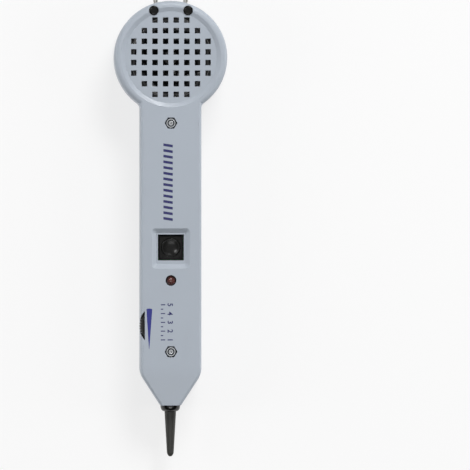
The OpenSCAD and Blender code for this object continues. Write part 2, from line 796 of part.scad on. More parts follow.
// Round push button with a hollowed face and a flange that keeps it in the housing
module push_button() {
    hollow = 0.7; // depth of the hollow in the button's face
    ball_r = (pow(button_r - 0.6, 2) + hollow * hollow) / (2 * hollow);
    color([0.04, 0.04, 0.04]) translate([0, button_y, 0]) difference() {
        union() {
            translate([0, 0, button_low]) cylinder(r = flange_r, h = flange_t);
            translate([0, 0, button_low]) cylinder(r = button_r, h = button_top - button_low);
        }
        translate([0, 0, button_top + ball_r - hollow]) sphere(r = ball_r);
    }
}

// Compression spring under the push button
module button_spring() {
    coil_r = 2.6;
    height = button_low - spring_z - spring_wire;
    steps = 14 * spring_turns;
    path = [
        for (i = [0:steps])
            let (a = 7 + 360 * i / 14)
                [coil_r * cos(a), coil_r * sin(a) + button_y, spring_z + spring_wire / 2 + height * i / steps]
    ];
    color([0.75, 0.75, 0.73]) coil(path, spring_wire / 2, coil_r);
}

// A square-section wire swept around the vertical axis of the push button
module coil(path, r, coil_r) {
    last = len(path) - 1;
    points = [
        for (p = path, c = [[-1, -1], [1, -1], [1, 1], [-1, 1]])
            [p.x * (1 + c[0] * r / coil_r), (p.y - button_y) * (1 + c[0] * r / coil_r) + button_y, p.z + c[1] * r]
    ];
    walls = [
        for (i = [0:last - 1], j = [0:3])
            let (k = (j + 1) % 4, a = i * 4, b = a + 4) [a + j, a + k, b + k, b + j]
    ];
    polyhedron(points, concat(walls, [[3, 2, 1, 0], [for (j = [0:3]) last * 4 + j]]), convexity = 6);
}

// Lamp: a clear domed body with a flange
module led() {
    r = led_d / 2;
    top = case_t - 0.1;
    bottom = top - 8.6;
    color([0.45, 0.12, 0.1]) translate([0, led_y, 0]) rotate_extrude() polygon([
        [0, bottom],
        [r + 0.4, bottom],
        [r + 0.4, bottom + 1],
        [r, bottom + 1],
        for (i = [0:9]) [r * cos(i * 10), top - r + r * sin(i * 10)]
    ]);
}

// The lamp's two legs
module led_legs() {
    bottom = case_t - 0.1 - 8.6;
    color([0.75, 0.75, 0.73]) for (side = [-1, 1])
        box([side * 1.27 - 0.25, led_y - 0.25, board_z], [side * 1.27 + 0.25, led_y + 0.25, bottom]);
}

// The amplifier chip with its eight legs
module amplifier_chip() {
    color([0.1, 0.1, 0.1]) {
        box([chip_x - 3.1, chip_y - 4.9, board_z + 0.5], [chip_x + 3.1, chip_y + 4.9, board_z + 3.7]);
        for (side = [-1, 1], i = [0:3]) {
            x = chip_x + side * 3.3;
            y = chip_y + (i - 1.5) * 2.54;
            box([x - 0.4, y - 0.4, board_z], [x + 0.4, y + 0.4, board_z + 2.2]);
        }
    }
}

// Three upright capacitors
module capacitors() {
    spots = [[9, led_y - 0.6], [-9, led_y - 1.6], [9.6, led_y - 8.6]];
    color([0.15, 0.2, 0.4]) for (p = spots) translate([p.x, p.y, board_z]) {
        cylinder(r = 2.5, h = 6.2);
    }
}

// Five axial resistors, each with its bent leads
module resistors() {
    body_l = 5.2;
    lead_y = 3.3; // half the distance between the two leads
    wire = 0.25;
    color([0.75, 0.62, 0.42]) for (i = [0:4]) {
        x = i < 3 ? -3.4 + i * 3.4 : 3 + (i - 3) * 3.4;
        y = i < 3 ? led_y - 8.4 : max(chip_y - 11.8, screw_ys[1] + boss_r + 2.2);
        rod_y(x, y + body_l / 2, board_z + 1.1, 0.9, body_l);
        rod_y(x, y + lead_y + wire, board_z + 1.1, wire, 2 * (lead_y + wire));
        for (end = [-1, 1]) translate([x, y + end * lead_y, board_z]) cylinder(r = wire, h = 1.1);
    }
}

// The small transistor beside the lower screw
module transistor() {
    color([0.1, 0.1, 0.1]) translate([9.6, screw_ys[1] - 1, board_z]) {
        intersection() {
            cylinder(r = 2.3, h = 4.8);
            translate([-2.4, -1.2, 0]) cube([4.8, 4, 5]);
        }
    }
}

// Body of the volume control, soldered to the board
module volume_pot() {
    color([0.35, 0.35, 0.36]) translate([wheel_x, wheel_y, 0]) difference() {
        union() {
            translate([0, 0, board_z]) cylinder(r = pot_r, h = pot_t);
            for (i = [-1:1]) translate([i * 2.5 + 1, -pot_r - 0.6, board_z]) cube([1, 2, 0.5], center = false);
        }
        translate([0, 0, board_z + 0.6]) cylinder(r = shaft_r + run_gap, h = pot_t);
    }
}

// The control's shaft, which turns with the wheel
module pot_shaft() {
    color([0.7, 0.7, 0.68]) translate([wheel_x, wheel_y, board_z + 0.7]) difference() {
        cylinder(r = shaft_r, h = wheel_top - 1.2 - board_z - 0.7);
        translate([0, 0, 2]) cylinder(r = 0.7 + run_gap, h = wheel_top - board_z);
    }
}

// Toothed thumbwheel with a raised hub and a recess for its screw
module volume_wheel() {
    tooth = 0.45;
    edge = [
        for (i = [0:wheel_teeth * 4 - 1])
            let (a = 360 * i / (wheel_teeth * 4), r = wheel_r - (i % 4 < 2 ? 0 : tooth)) [r * cos(a), r * sin(a)]
    ];
    color([0.07, 0.07, 0.07]) translate([wheel_x, wheel_y, 0]) difference() {
        translate([0, 0, wheel_z]) linear_extrude(wheel_t) polygon(edge);
        translate([0, 0, wheel_z - OVER]) cylinder(r = shaft_r + 0.02, h = wheel_t + 2 * OVER);
        translate([0, 0, wheel_top - 1.2]) cylinder(r = 3, h = 2);
        translate([0, 0, wheel_top - 0.5]) difference() {
            cylinder(r = wheel_r - 2, h = 2);
            translate([0, 0, -OVER]) cylinder(r = 4.4, h = 4);
        }
    }
}

// Small screw that holds the wheel on its shaft
module wheel_screw() {
    color([0.78, 0.78, 0.76]) translate([wheel_x, wheel_y, wheel_top - 1.2]) difference() {
        union() {
            cylinder(r = 2, h = 1);
            translate([0, 0, -3.2]) cylinder(r = 0.7, h = 3.3);
        }
        for (a = [0, 90]) translate([0, 0, 1]) rotate(a) cube([2.4, 0.5, 1], center = true);
    }
}

// Tapered probe tip with a blunt point and a flange that holds it behind the collar
module probe_tip() {
    root = tip_root_d / 2;
    end = tip_end_d / 2;
    point = 1.2; // length of the blunt point
    color([0.2, 0.2, 0.19]) translate([0, 0, mid_z]) rotate([90, 0, 0]) rotate_extrude() polygon([
        [0, -tip_back_y],
        [sleeve_r - 0.1, -tip_back_y],
        [sleeve_r - 0.1, -tip_stop_y - 0.05],
        [root, -tip_stop_y - 0.05],
        [root, -tip_y],
        [end, tip_len - tip_y - point],
        [end * 0.45, tip_len - tip_y - point * 0.2],
        [0, tip_len - tip_y]
    ]);
}

// Domed black collar with a sleeve and a flange that sits in the nose
module tip_collar() {
    bore = tip_root_d / 2 + run_gap;
    dome_r = collar_d / 2;
    mouth_r = bore + 0.25;
    color([0.07, 0.07, 0.08]) translate([0, 0, mid_z]) rotate([90, 0, 0]) rotate_extrude() polygon([
        [bore, -tip_stop_y],
        [sleeve_r + flange_out, -tip_stop_y],
        [sleeve_r + flange_out, -groove_y],
        [sleeve_r, -groove_y],
        [sleeve_r, -nose_end_y],
        [dome_r, -nose_end_y],
        [dome_r, -nose_end_y + 0.3],
        for (i = [1:8])
            [mouth_r + (dome_r - mouth_r) * cos(i * 11.25), -nose_end_y + 0.3 + (collar_len - 0.3) * sin(i * 11.25)],
        [bore, -tip_y]
    ]);
}

// Brass disc pressed against the back of the tip, with a solder tail
module tip_contact() {
    disc_t = 0.6;
    color([0.75, 0.6, 0.3]) {
        rod_y(0, tip_back_y + run_gap + disc_t, mid_z, tip_root_d / 2 - 0.5, disc_t);
        rod_y(0, contact_y, mid_z, 0.6, contact_y - tip_back_y - disc_t);
    }
}

// Wire from the tip's contact to the end of the board
module tip_lead() {
    color([0.2, 0.3, 0.6]) tube(smooth([
        [0, contact_y + 0.15, mid_z],
        [0.6, contact_y + 2.7, mid_z + 0.3],
        [3, board_end_y - 1.6, board_z - 0.9],
        [5, board_end_y + 0.4, board_wire_z + 0.3],
        [6, board_end_y + 4, board_wire_z]
    ]), wire_r);
}

front_shell();
rear_shell();
battery_door();
case_screws();
case_nuts();
terminal_nibs();
terminal_caps();
terminal_washers();
terminal_leads();
speaker_gasket();
speaker_frame();
speaker_cone();
speaker_magnet();
speaker_tags();
speaker_leads();
battery();
battery_snap();
battery_lead_red();
battery_lead_black();
battery_pad();
circuit_board();
switch_housing();
push_button();
button_spring();
led();
led_legs();
amplifier_chip();
capacitors();
resistors();
transistor();
volume_pot();
pot_shaft();
volume_wheel();
wheel_screw();
probe_tip();
tip_collar();
tip_contact();
tip_lead();
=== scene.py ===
"""Wire tracing probe: visible pieces for an inductive amplifier probe, made around its packed CAD model."""

from math import atan2, cos, pi, radians, sin, sqrt, tan

import bmesh
import bpy
from bpy.props import FloatProperty, FloatVectorProperty, IntProperty, PointerProperty
from mathutils import Matrix, Vector


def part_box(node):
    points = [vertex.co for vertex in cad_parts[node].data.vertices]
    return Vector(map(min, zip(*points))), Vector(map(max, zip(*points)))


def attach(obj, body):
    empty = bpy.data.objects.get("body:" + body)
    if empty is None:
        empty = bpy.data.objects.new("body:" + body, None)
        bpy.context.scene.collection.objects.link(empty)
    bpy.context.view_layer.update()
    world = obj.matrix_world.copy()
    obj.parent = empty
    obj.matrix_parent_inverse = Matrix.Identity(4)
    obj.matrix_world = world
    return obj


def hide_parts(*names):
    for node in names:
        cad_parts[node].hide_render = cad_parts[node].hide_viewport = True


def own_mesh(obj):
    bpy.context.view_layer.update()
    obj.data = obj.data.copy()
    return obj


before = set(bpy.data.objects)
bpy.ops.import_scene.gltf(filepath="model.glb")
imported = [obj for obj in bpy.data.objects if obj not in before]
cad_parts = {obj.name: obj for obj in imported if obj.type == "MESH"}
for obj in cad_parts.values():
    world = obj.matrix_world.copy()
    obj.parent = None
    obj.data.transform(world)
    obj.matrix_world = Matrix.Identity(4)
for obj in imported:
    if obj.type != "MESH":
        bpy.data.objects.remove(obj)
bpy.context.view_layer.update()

bl_info = {
    "name": "Wire Tracing Probe",
    "version": (1, 0, 0),
    "blender": (4, 5, 0),
    "location": "View3D > Sidebar > Probe",
    "description": "Builds the case, controls, terminals and inner parts of a wire tracing probe",
    "category": "Add Mesh",
}

MM = 0.001
FULL_TURN = 2 * pi


def span(node):
    """Lowest corner, highest corner and middle of a CAD node, in millimetres."""
    low, high = (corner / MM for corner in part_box(node))
    return low, high, (low + high) / 2


def screen(red, green, blue):
    """Linear colour with alpha of a colour given in steps of 1/255 as a screen shows it."""
    linear = [(c / 255 / 12.92) if c <= 10 else ((c / 255 + 0.055) / 1.055) ** 2.4
              for c in (red, green, blue)]
    return (*linear, 1.0)


def size(name, default, description, low=0.0, high=300.0):
    """A length property, in metres, from a default in millimetres."""
    return FloatProperty(name=name, description=description, default=default * MM, min=low * MM,
                         max=high * MM, subtype="DISTANCE", unit="LENGTH", precision=5)


def share(name, default, description, low=0.0, high=1.0):
    """A plain number property between two limits."""
    return FloatProperty(name=name, description=description, default=default, min=low, max=high,
                         subtype="FACTOR")


def paint(name, default, description):
    """A colour property, from a colour as a screen shows it."""
    return FloatVectorProperty(name=name, description=description, default=screen(*default), size=4, min=0,
                               max=1, subtype="COLOR")


# ---------------------------------------------------------------- settings


class ProbeCaseSettings(bpy.types.PropertyGroup):
    """Colours and finish of the case and its printed marks."""

    shell_color: paint("Shell", (169, 177, 187), "Colour of the moulded case")
    shell_gloss: share("Shell roughness", 0.42, "Roughness of the satin case")
    grain_size: size("Grain size", 0.42, "Distance between the grains of the moulded surface", 0.05, 5)
    edge_softness: size("Edge softness", 0.22, "Rounding that the moulded edges show", 0.02, 1)
    mark_color: paint("Marks", (38, 38, 96), "Colour of the printed marks")
    wedge_color: paint("Wedge", (38, 44, 128), "Colour of the printed volume wedge")
    ink_thickness: size("Ink thickness", 0.02, "Thickness of the printed ink", 0.005, 0.2)


class ProbeControlSettings(bpy.types.PropertyGroup):
    """Shapes and colours of the button, the lamp and the thumbwheel."""

    button_hollow: size("Button hollow", 0.75, "Depth of the hollow in the button's face", 0.1, 1.5)
    button_rim: size("Button rim", 0.45, "Rounding of the button's rim", 0.1, 1)
    tooth_depth: size("Tooth depth", 0.6, "Depth of the thumbwheel's teeth", 0.1, 1)
    lamp_color: paint("Lamp", (122, 70, 64), "Colour of the unlit lamp")
    spring_turns: share("Spring turns", 4.0, "Number of turns of the spring under the button", 2.0, 6.0)


class ProbeHardwareSettings(bpy.types.PropertyGroup):
    """Sizes and colours of the screws, nuts, nibs and the probe tip."""

    thread_pitch: size("Thread pitch", 0.5, "Pitch of the case screws' thread", 0.2, 1)
    nut_chamfer: share("Nut chamfer", 36.0, "Angle of the chamfer on the nuts, in degrees", 10.0, 45.0)
    steel_color: paint("Steel", (214, 217, 220), "Colour of the zinc plated steel")
    tip_color: paint("Tip", (54, 54, 51), "Colour of the satin probe tip")
    black_color: paint("Black", (14, 14, 13), "Colour of the glossy black mouldings")


class ProbeInsideSettings(bpy.types.PropertyGroup):
    """Sizes and colours of what the case holds."""

    cone_ribs: IntProperty(name="Cone ribs", description="Number of pressed ribs around the speaker's cone",
                           default=30, min=8, max=60)
    can_color: paint("Battery can", (30, 33, 38), "Colour of the battery's can")
    board_color: paint("Board", (22, 84, 46), "Colour of the circuit board's lacquer")
    pad_fill: share("Foam fill", 0.8, "How tightly the foam strip over the battery is filled")


class ProbeStageSettings(bpy.types.PropertyGroup):
    """Camera, floor and lamps."""

    aim: FloatVectorProperty(name="Aim", description="Point at which the camera looks",
                             default=(0.0329, -0.0912, 0.0240), subtype="TRANSLATION", unit="LENGTH")
    stand: FloatVectorProperty(name="Stand", description="Place of the camera",
                               default=(-0.1137, -0.0912, 4.0240), subtype="TRANSLATION", unit="LENGTH")
    field: size("Field", 241.2, "Width that the camera sees at the part", 100, 1000)
    floor_color: paint("Floor", (240, 240, 240), "Colour of the floor")
    sky_level: share("Sky level", 0.36, "Level of the even light from all round")
    key_power: FloatProperty(name="Key power", description="Power of the large lamp above the head, in watts",
                             default=37.0, min=0, max=200)
    side_power: FloatProperty(name="Side power", description="Power of each side lamp, in watts",
                              default=6.0, min=0, max=200)
    upper_glint: FloatProperty(name="Upper glint",
                               description="Power of the far lamp that gloss mirrors beside the "
                               "head, in watts", default=20.0, min=0, max=200)
    lower_glint: FloatProperty(name="Lower glint",
                               description="Power of the far lamp that gloss mirrors below the "
                               "tip, in watts", default=19.0, min=0, max=200)


def settings(name):
    """The scene's settings of one kind."""
    return getattr(bpy.context.scene, name)


# ---------------------------------------------------------------- node helpers


def put(tree, kind, inputs=None, **options):
    """Adds a node with its options and socket values set."""
    made = tree.nodes.new(kind)
    for option, value in options.items():
        setattr(made, option, value)
    for label, value in (inputs or {}).items():
        socket = made.inputs[label]
        if isinstance(value, bpy.types.NodeSocket):
            tree.links.new(value, socket)
        else:
            socket.default_value = value
    return made


def sum_of(tree, operation, *values, **options):
    """The result of a Math node over the values, each a number or a socket."""
    return put(tree, "ShaderNodeMath", dict(enumerate(values)), operation=operation, **options).outputs[0]


def ranged(tree, value, low, high, to_low, to_high):
    """A value carried from one range to another and held inside it."""
    return put(tree, "ShaderNodeMapRange", {"Value": value, "From Min": low, "From Max": high,
                                            "To Min": to_low, "To Max": to_high}, clamp=True).outputs[0]


def mixed(tree, factor, first, second):
    """The colour between two colours."""
    made = tree.nodes.new("ShaderNodeMix")
    made.data_type = "RGBA"
    for index, value in ((0, factor), (6, first), (7, second)):
        if isinstance(value, bpy.types.NodeSocket):
            tree.links.new(value, made.inputs[index])
        else:
            made.inputs[index].default_value = value
    return made.outputs[2]


def placed(tree, centre=(0, 0, 0), turn=(0, 0, 0)):
    """Object coordinates in millimetres from a centre, turned."""
    here = put(tree, "ShaderNodeTexCoord").outputs["Object"]
    moved = put(tree, "ShaderNodeVectorMath", {0: here, 1: [-c * MM for c in centre]},
                operation="ADD").outputs[0]
    return put(tree, "ShaderNodeMapping", {"Vector": moved, "Rotation": turn,
                                           "Scale": [1 / MM] * 3}).outputs[0]


def new_group(name, inputs, outputs):
    """A node group with named sockets, given as (name, kind, default) and (name, kind)."""
    group = bpy.data.node_groups.new(name, "ShaderNodeTree")
    kinds = {"value": "NodeSocketFloat", "color": "NodeSocketColor", "vector": "NodeSocketVector"}
    for label, kind, default in inputs:
        group.interface.new_socket(label, in_out="INPUT", socket_type=kinds[kind]).default_value = default
    for label, kind in outputs:
        group.interface.new_socket(label, in_out="OUTPUT", socket_type=kinds[kind])
    return group, group.nodes.new("NodeGroupInput").outputs, group.nodes.new("NodeGroupOutput").inputs


def use_group(tree, name, **values):
    """Places a shared group in a material; underscores in the names of its inputs stand for spaces."""
    made = tree.nodes.new("ShaderNodeGroup")
    made.node_tree = bpy.data.node_groups[name]
    for label, value in values.items():
        socket = made.inputs[label.replace("_", " ").capitalize()]
        if isinstance(value, bpy.types.NodeSocket):
            tree.links.new(value, socket)
        else:
            socket.default_value = value
    return made.outputs


# ---------------------------------------------------------------- shared surface effects


def build_grain():
    """Fine pebbled grain of a moulded or cast surface, with a slight cloudiness of its colour and gloss."""
    group, given, out = new_group(
        "Moulded grain",
        [("Vector", "vector", (0, 0, 0)), ("Color", "color", (0.5, 0.5, 0.5, 1)), ("Size", "value", 0.4),
         ("Roughness", "value", 0.4), ("Cloudiness", "value", 0.03)],
        [("Color", "color"), ("Roughness", "value"), ("Height", "value")])
    pitch = sum_of(group, "DIVIDE", 1.0, given["Size"])
    pebbles = put(group, "ShaderNodeTexVoronoi", {"Vector": given["Vector"], "Scale": pitch,
                                                  "Smoothness": 0.8},
                  feature="SMOOTH_F1").outputs["Distance"]
    fine = put(group, "ShaderNodeTexNoise", {"Vector": given["Vector"], "Scale": pitch,
                                             "Detail": 3.0}).outputs[0]
    cloud = put(group, "ShaderNodeTexNoise", {"Vector": given["Vector"], "Scale": 0.05, "Detail": 4.0,
                                              "Distortion": 0.6}).outputs[0]
    height = sum_of(group, "ADD", sum_of(group, "MULTIPLY", pebbles, 0.6),
                    sum_of(group, "MULTIPLY", fine, 0.5))
    group.links.new(height, out["Height"])
    shade = sum_of(group, "ADD", sum_of(group, "SUBTRACT", cloud, 0.5),
                   sum_of(group, "MULTIPLY", sum_of(group, "SUBTRACT", fine, 0.5), 0.6))
    gain = sum_of(group, "ADD", 1.0, sum_of(group, "MULTIPLY", shade, given["Cloudiness"]))
    tinted = put(group, "ShaderNodeVectorMath", {0: given["Color"], "Scale": gain},
                 operation="SCALE").outputs[0]
    group.links.new(tinted, out["Color"])
    rough = sum_of(group, "ADD", given["Roughness"], sum_of(group, "MULTIPLY", shade, 0.14))
    group.links.new(rough, out["Roughness"])


def build_worn_edges():
    """Softly rounded edges as a normal, and a broken mask of where hands and pockets polish them."""
    group, given, out = new_group("Worn edges", [("Radius", "value", 0.0002), ("Wear", "value", 0.5)],
                                  [("Mask", "value"), ("Normal", "vector")])
    soft = put(group, "ShaderNodeBevel", {"Radius": given["Radius"]}, samples=6).outputs[0]
    plain = put(group, "ShaderNodeNewGeometry").outputs["Normal"]
    facing = put(group, "ShaderNodeVectorMath", {0: soft, 1: plain}, operation="DOT_PRODUCT").outputs["Value"]
    edge = ranged(group, facing, 0.995, 0.86, 0.0, 1.0)
    patches = put(group, "ShaderNodeTexNoise", {"Vector": placed(group), "Scale": 0.5,
                                                "Detail": 5.0}).outputs[0]
    broken = sum_of(group, "MULTIPLY", edge, ranged(group, patches, 0.35, 0.7, 0.15, 1.0))
    group.links.new(sum_of(group, "MULTIPLY", broken, given["Wear"]), out["Mask"])
    group.links.new(soft, out["Normal"])


def build_hand_marks():
    """Smudges and hairline scratches of a handled surface, as one value around zero for its roughness."""
    group, given, out = new_group(
        "Hand marks",
        [("Vector", "vector", (0, 0, 0)), ("Smudges", "value", 0.08), ("Scratches", "value", 0.05)],
        [("Change", "value")])
    smear = put(group, "ShaderNodeTexNoise", {"Vector": given["Vector"], "Scale": 0.11, "Detail": 6.0,
                                              "Distortion": 1.4}).outputs[0]
    smear = sum_of(group, "MULTIPLY", ranged(group, smear, 0.4, 0.7, -0.5, 0.5), given["Smudges"])
    stretched = put(group, "ShaderNodeMapping", {"Vector": given["Vector"], "Rotation": (0.2, 0.1, 0.7),
                                                 "Scale": (0.05, 2.6, 0.6)}).outputs[0]
    lines = put(group, "ShaderNodeTexNoise", {"Vector": stretched, "Scale": 1.0, "Detail": 2.0}).outputs[0]
    lines = sum_of(group, "MULTIPLY", ranged(group, lines, 0.66, 0.72, 0.0, 1.0), given["Scratches"])
    group.links.new(sum_of(group, "ADD", smear, lines), out["Change"])


def build_turned_lines():
    """Fine rings that a lathe leaves around the Z axis of the vector it is given."""
    group, given, out = new_group(
        "Turned lines", [("Vector", "vector", (0, 0, 0)), ("Pitch", "value", 0.12)],
        [("Height", "value"), ("Change", "value")])
    rings = put(group, "ShaderNodeTexWave", {
        "Vector": given["Vector"], "Scale": sum_of(group, "DIVIDE", 0.314, given["Pitch"]), "Distortion": 1.2,
        "Detail": 3.0, "Detail Scale": 2.0}, wave_type="RINGS", rings_direction="Z").outputs["Fac"]
    flat = put(group, "ShaderNodeTexNoise", {"Vector": given["Vector"], "Scale": 1.2,
                                             "Detail": 4.0}).outputs[0]
    group.links.new(rings, out["Height"])
    mixed_change = sum_of(group, "ADD", sum_of(group, "MULTIPLY", sum_of(group, "SUBTRACT", rings, 0.5), 0.1),
                          sum_of(group, "MULTIPLY", sum_of(group, "SUBTRACT", flat, 0.5), 0.2))
    group.links.new(mixed_change, out["Change"])


def build_drawn_streaks():
    """Long faint streaks of drawn or rolled metal along the Y axis."""
    group, given, out = new_group(
        "Drawn streaks", [("Vector", "vector", (0, 0, 0)), ("Width", "value", 0.2)],
        [("Height", "value"), ("Change", "value")])
    long_way = put(group, "ShaderNodeMapping", {"Vector": given["Vector"],
                                                "Scale": (1.0, 0.03, 1.0)}).outputs[0]
    streaks = put(group, "ShaderNodeTexNoise", {
        "Vector": long_way, "Scale": sum_of(group, "DIVIDE", 1.0, given["Width"]), "Detail": 4.0}).outputs[0]
    group.links.new(streaks, out["Height"])
    group.links.new(sum_of(group, "MULTIPLY", sum_of(group, "SUBTRACT", streaks, 0.5), 0.35), out["Change"])


def build_settled_dust():
    """A thin film of dust on what faces up, thicker in patches."""
    group, given, out = new_group("Settled dust", [("Vector", "vector", (0, 0, 0)), ("Amount", "value", 0.1)],
                                  [("Mask", "value")])
    up = put(group, "ShaderNodeSeparateXYZ",
             {0: put(group, "ShaderNodeNewGeometry").outputs["Normal"]}).outputs["Z"]
    patches = put(group, "ShaderNodeTexNoise", {"Vector": given["Vector"], "Scale": 0.9, "Detail": 6.0,
                                                "Roughness": 0.7}).outputs[0]
    film = sum_of(group, "MULTIPLY", ranged(group, up, 0.2, 0.95, 0.0, 1.0),
                  ranged(group, patches, 0.45, 0.75, 0.1, 1.0))
    group.links.new(sum_of(group, "MULTIPLY", film, given["Amount"]), out["Mask"])


# ---------------------------------------------------------------- materials


def new_material(name):
    """An empty material with its shader joined to the output: the material, its tree and the shader."""
    made = bpy.data.materials.new(name)
    made.use_nodes = True
    tree = made.node_tree
    tree.nodes.clear()
    shader = tree.nodes.new("ShaderNodeBsdfPrincipled")
    tree.links.new(shader.outputs[0], put(tree, "ShaderNodeOutputMaterial").inputs["Surface"])
    return made, tree, shader


def bump(tree, shader, height, distance, normal=None):
    """Joins a height to the shader through a Bump node; the distance is in metres."""
    made = put(tree, "ShaderNodeBump", {"Height": height, "Distance": distance, "Strength": 1.0})
    if normal is not None:
        tree.links.new(normal, made.inputs["Normal"])
    tree.links.new(made.outputs[0], shader.inputs["Normal"])


def plastic(name, color, rough, grain=0.3, depth=0.004, cloud=0.03, edge=0.1, wear=0.0, smudge=0.06,
            scratch=0.03, dust=0.0, coat=0.0, level=0.5, wear_and_glint_color=None):
    """Moulded plastic: grain of a size and depth in millimetres, soft edges, hand marks and dust."""
    made, tree, shader = new_material(name)
    where = placed(tree)
    grain_out = use_group(tree, "Moulded grain", vector=where, color=color, size=grain, roughness=rough,
                          cloudiness=cloud)
    edges = use_group(tree, "Worn edges", radius=edge * MM, wear=wear)
    marks = use_group(tree, "Hand marks", vector=where, smudges=smudge, scratches=scratch)
    tone = grain_out["Color"]
    if wear:
        paler = tuple(min(1, c * 1.35) for c in color[:3]) + (1,)
        tone = mixed(tree, edges["Mask"], tone, wear_and_glint_color or paler)
    if dust:
        film = use_group(tree, "Settled dust", vector=where, amount=dust)["Mask"]
        tone = mixed(tree, film, tone, screen(150, 148, 144))
    tree.links.new(tone, shader.inputs["Base Color"])
    rough_out = sum_of(tree, "ADD", grain_out["Roughness"], marks["Change"])
    if dust:
        rough_out = sum_of(tree, "ADD", rough_out, film)
    tree.links.new(sum_of(tree, "SUBTRACT", rough_out, sum_of(tree, "MULTIPLY", edges["Mask"], 0.1),
                          use_clamp=True),
                   shader.inputs["Roughness"])
    bump(tree, shader, grain_out["Height"], depth * MM, normal=edges["Normal"])
    shader.inputs["Coat Weight"].default_value = coat
    shader.inputs["Coat Roughness"].default_value = 0.06
    shader.inputs["Specular IOR Level"].default_value = level
    return made


def metal(name, color, rough, lines="turned", centre=(0, 0, 0), turn=(0, 0, 0), pitch=0.12, depth=0.002,
          edge=0.08, dull=(120, 118, 112), wear=0.3):
    """Plain metal with lathe rings or drawn streaks, slightly dulled where it isn't rubbed."""
    made, tree, shader = new_material(name)
    where = placed(tree, centre, turn)
    if lines == "turned":
        tool = use_group(tree, "Turned lines", vector=where, pitch=pitch)
    else:
        tool = use_group(tree, "Drawn streaks", vector=where, width=pitch)
    edges = use_group(tree, "Worn edges", radius=edge * MM, wear=wear)
    marks = use_group(tree, "Hand marks", vector=where, smudges=0.12, scratches=0.05)
    film = put(tree, "ShaderNodeTexNoise", {"Vector": where, "Scale": 0.8, "Detail": 6.0,
                                            "Roughness": 0.65}).outputs[0]
    tone = mixed(tree, ranged(tree, film, 0.5, 0.75, 0.0, 0.35), color, screen(*dull))
    tree.links.new(mixed(tree, edges["Mask"], tone, tuple(min(1, c * 1.2) for c in color[:3]) + (1,)),
                   shader.inputs["Base Color"])
    change = sum_of(tree, "ADD", sum_of(tree, "ADD", tool["Change"], marks["Change"]), rough)
    tree.links.new(sum_of(tree, "MAXIMUM", change, 0.05), shader.inputs["Roughness"])
    shader.inputs["Metallic"].default_value = 1.0
    bump(tree, shader, tool["Height"], depth * MM, normal=edges["Normal"])
    return made


# ---------------------------------------------------------------- shape helpers


def soften(points, steps=5):
    """The outline with its corners rounded; a point is (x, y) or (x, y, rounding)."""
    made = []
    for i, point in enumerate(points):
        here = Vector(point[:2])
        if len(point) < 3 or not 0 < i < len(points) - 1:
            made.append(tuple(here))
            continue
        before, after = Vector(points[i - 1][:2]) - here, Vector(points[i + 1][:2]) - here
        reach = min(point[2], before.length * 0.49, after.length * 0.49)
        start, end = here + before.normalized() * reach, here + after.normalized() * reach
        for k in range(steps + 1):
            t = k / steps
            made.append(tuple(start * (1 - t) ** 2 + here * 2 * t * (1 - t) + end * t * t))
    return made


def turned(profile, centre, steps=64, down=None):
    """A solid of revolution from (radius, height) points in millimetres, along Z or down another axis."""
    bm = bmesh.new()
    points = [bm.verts.new((r * MM, 0, h * MM)) for r, h in profile]
    edges = [bm.edges.new(pair) for pair in zip(points, points[1:])]
    bmesh.ops.spin(bm, geom=points + edges, cent=(0, 0, 0), axis=(0, 0, 1), angle=FULL_TURN, steps=steps,
                   use_merge=True)
    bmesh.ops.remove_doubles(bm, verts=bm.verts, dist=1e-7)
    bmesh.ops.dissolve_degenerate(bm, edges=bm.edges, dist=1e-8)
    bmesh.ops.recalc_face_normals(bm, faces=bm.faces)
    if down:
        bmesh.ops.rotate(bm, verts=bm.verts, cent=(0, 0, 0),
                         matrix=Vector((0, 0, 1)).rotation_difference(Vector(down)).to_matrix())
    bmesh.ops.translate(bm, verts=bm.verts, vec=Vector(centre) * MM)
    return bm


def block(low, high, rounding=0.0, segments=3):
    """A box between two corners in millimetres, its edges rounded."""
    low, high = Vector(low), Vector(high)
    bm = bmesh.new()
    shape = Matrix.Translation((low + high) / 2 * MM) @ Matrix.Diagonal(((high - low) * MM).to_4d())
    bmesh.ops.create_cube(bm, size=1, matrix=shape)
    if rounding:
        round_edges(bm, bm.edges[:], rounding, segments)
    return bm


def round_edges(bm, edges, rounding, segments):
    """Bevels some edges of a bmesh to a radius in millimetres."""
    bmesh.ops.bevel(bm, geom=edges, offset=rounding * MM, offset_type="OFFSET", affect="EDGES",
                    segments=segments, profile=0.5, material=-1)


def slab(outline, low, high, rounding=0.0, segments=2):
    """A flat plate of any outline, in millimetres, between two heights, its top edge rounded."""
    bm = bmesh.new()
    face = bm.faces.new([bm.verts.new((x * MM, y * MM, low * MM)) for x, y in outline])
    up = bmesh.ops.extrude_face_region(bm, geom=[face])["geom"]
    raised = [g for g in up if isinstance(g, bmesh.types.BMVert)]
    bmesh.ops.translate(bm, verts=raised, vec=(0, 0, (high - low) * MM))
    bmesh.ops.recalc_face_normals(bm, faces=bm.faces)
    if rounding:
        round_edges(bm, [e for e in bm.edges if all(v in raised for v in e.verts)], rounding, segments)
    return bm


def circle(radius, centre, count=48):
    """Points of a circle in millimetres."""
    angles = [FULL_TURN * i / count for i in range(count)]
    return [(centre[0] + radius * cos(a), centre[1] + radius * sin(a)) for a in angles]


def round_box(width, length, radius, centre):
    """Points of a rectangle with rounded corners, in millimetres."""
    made, steps = [], 6
    for quarter, (sx, sy) in enumerate(((1, 1), (-1, 1), (-1, -1), (1, -1))):
        for i in range(steps + 1):
            a = (quarter + i / steps) * pi / 2
            made.append((centre[0] + sx * (width / 2 - radius) + radius * cos(a),
                         centre[1] + sy * (length / 2 - radius) + radius * sin(a)))
    return made


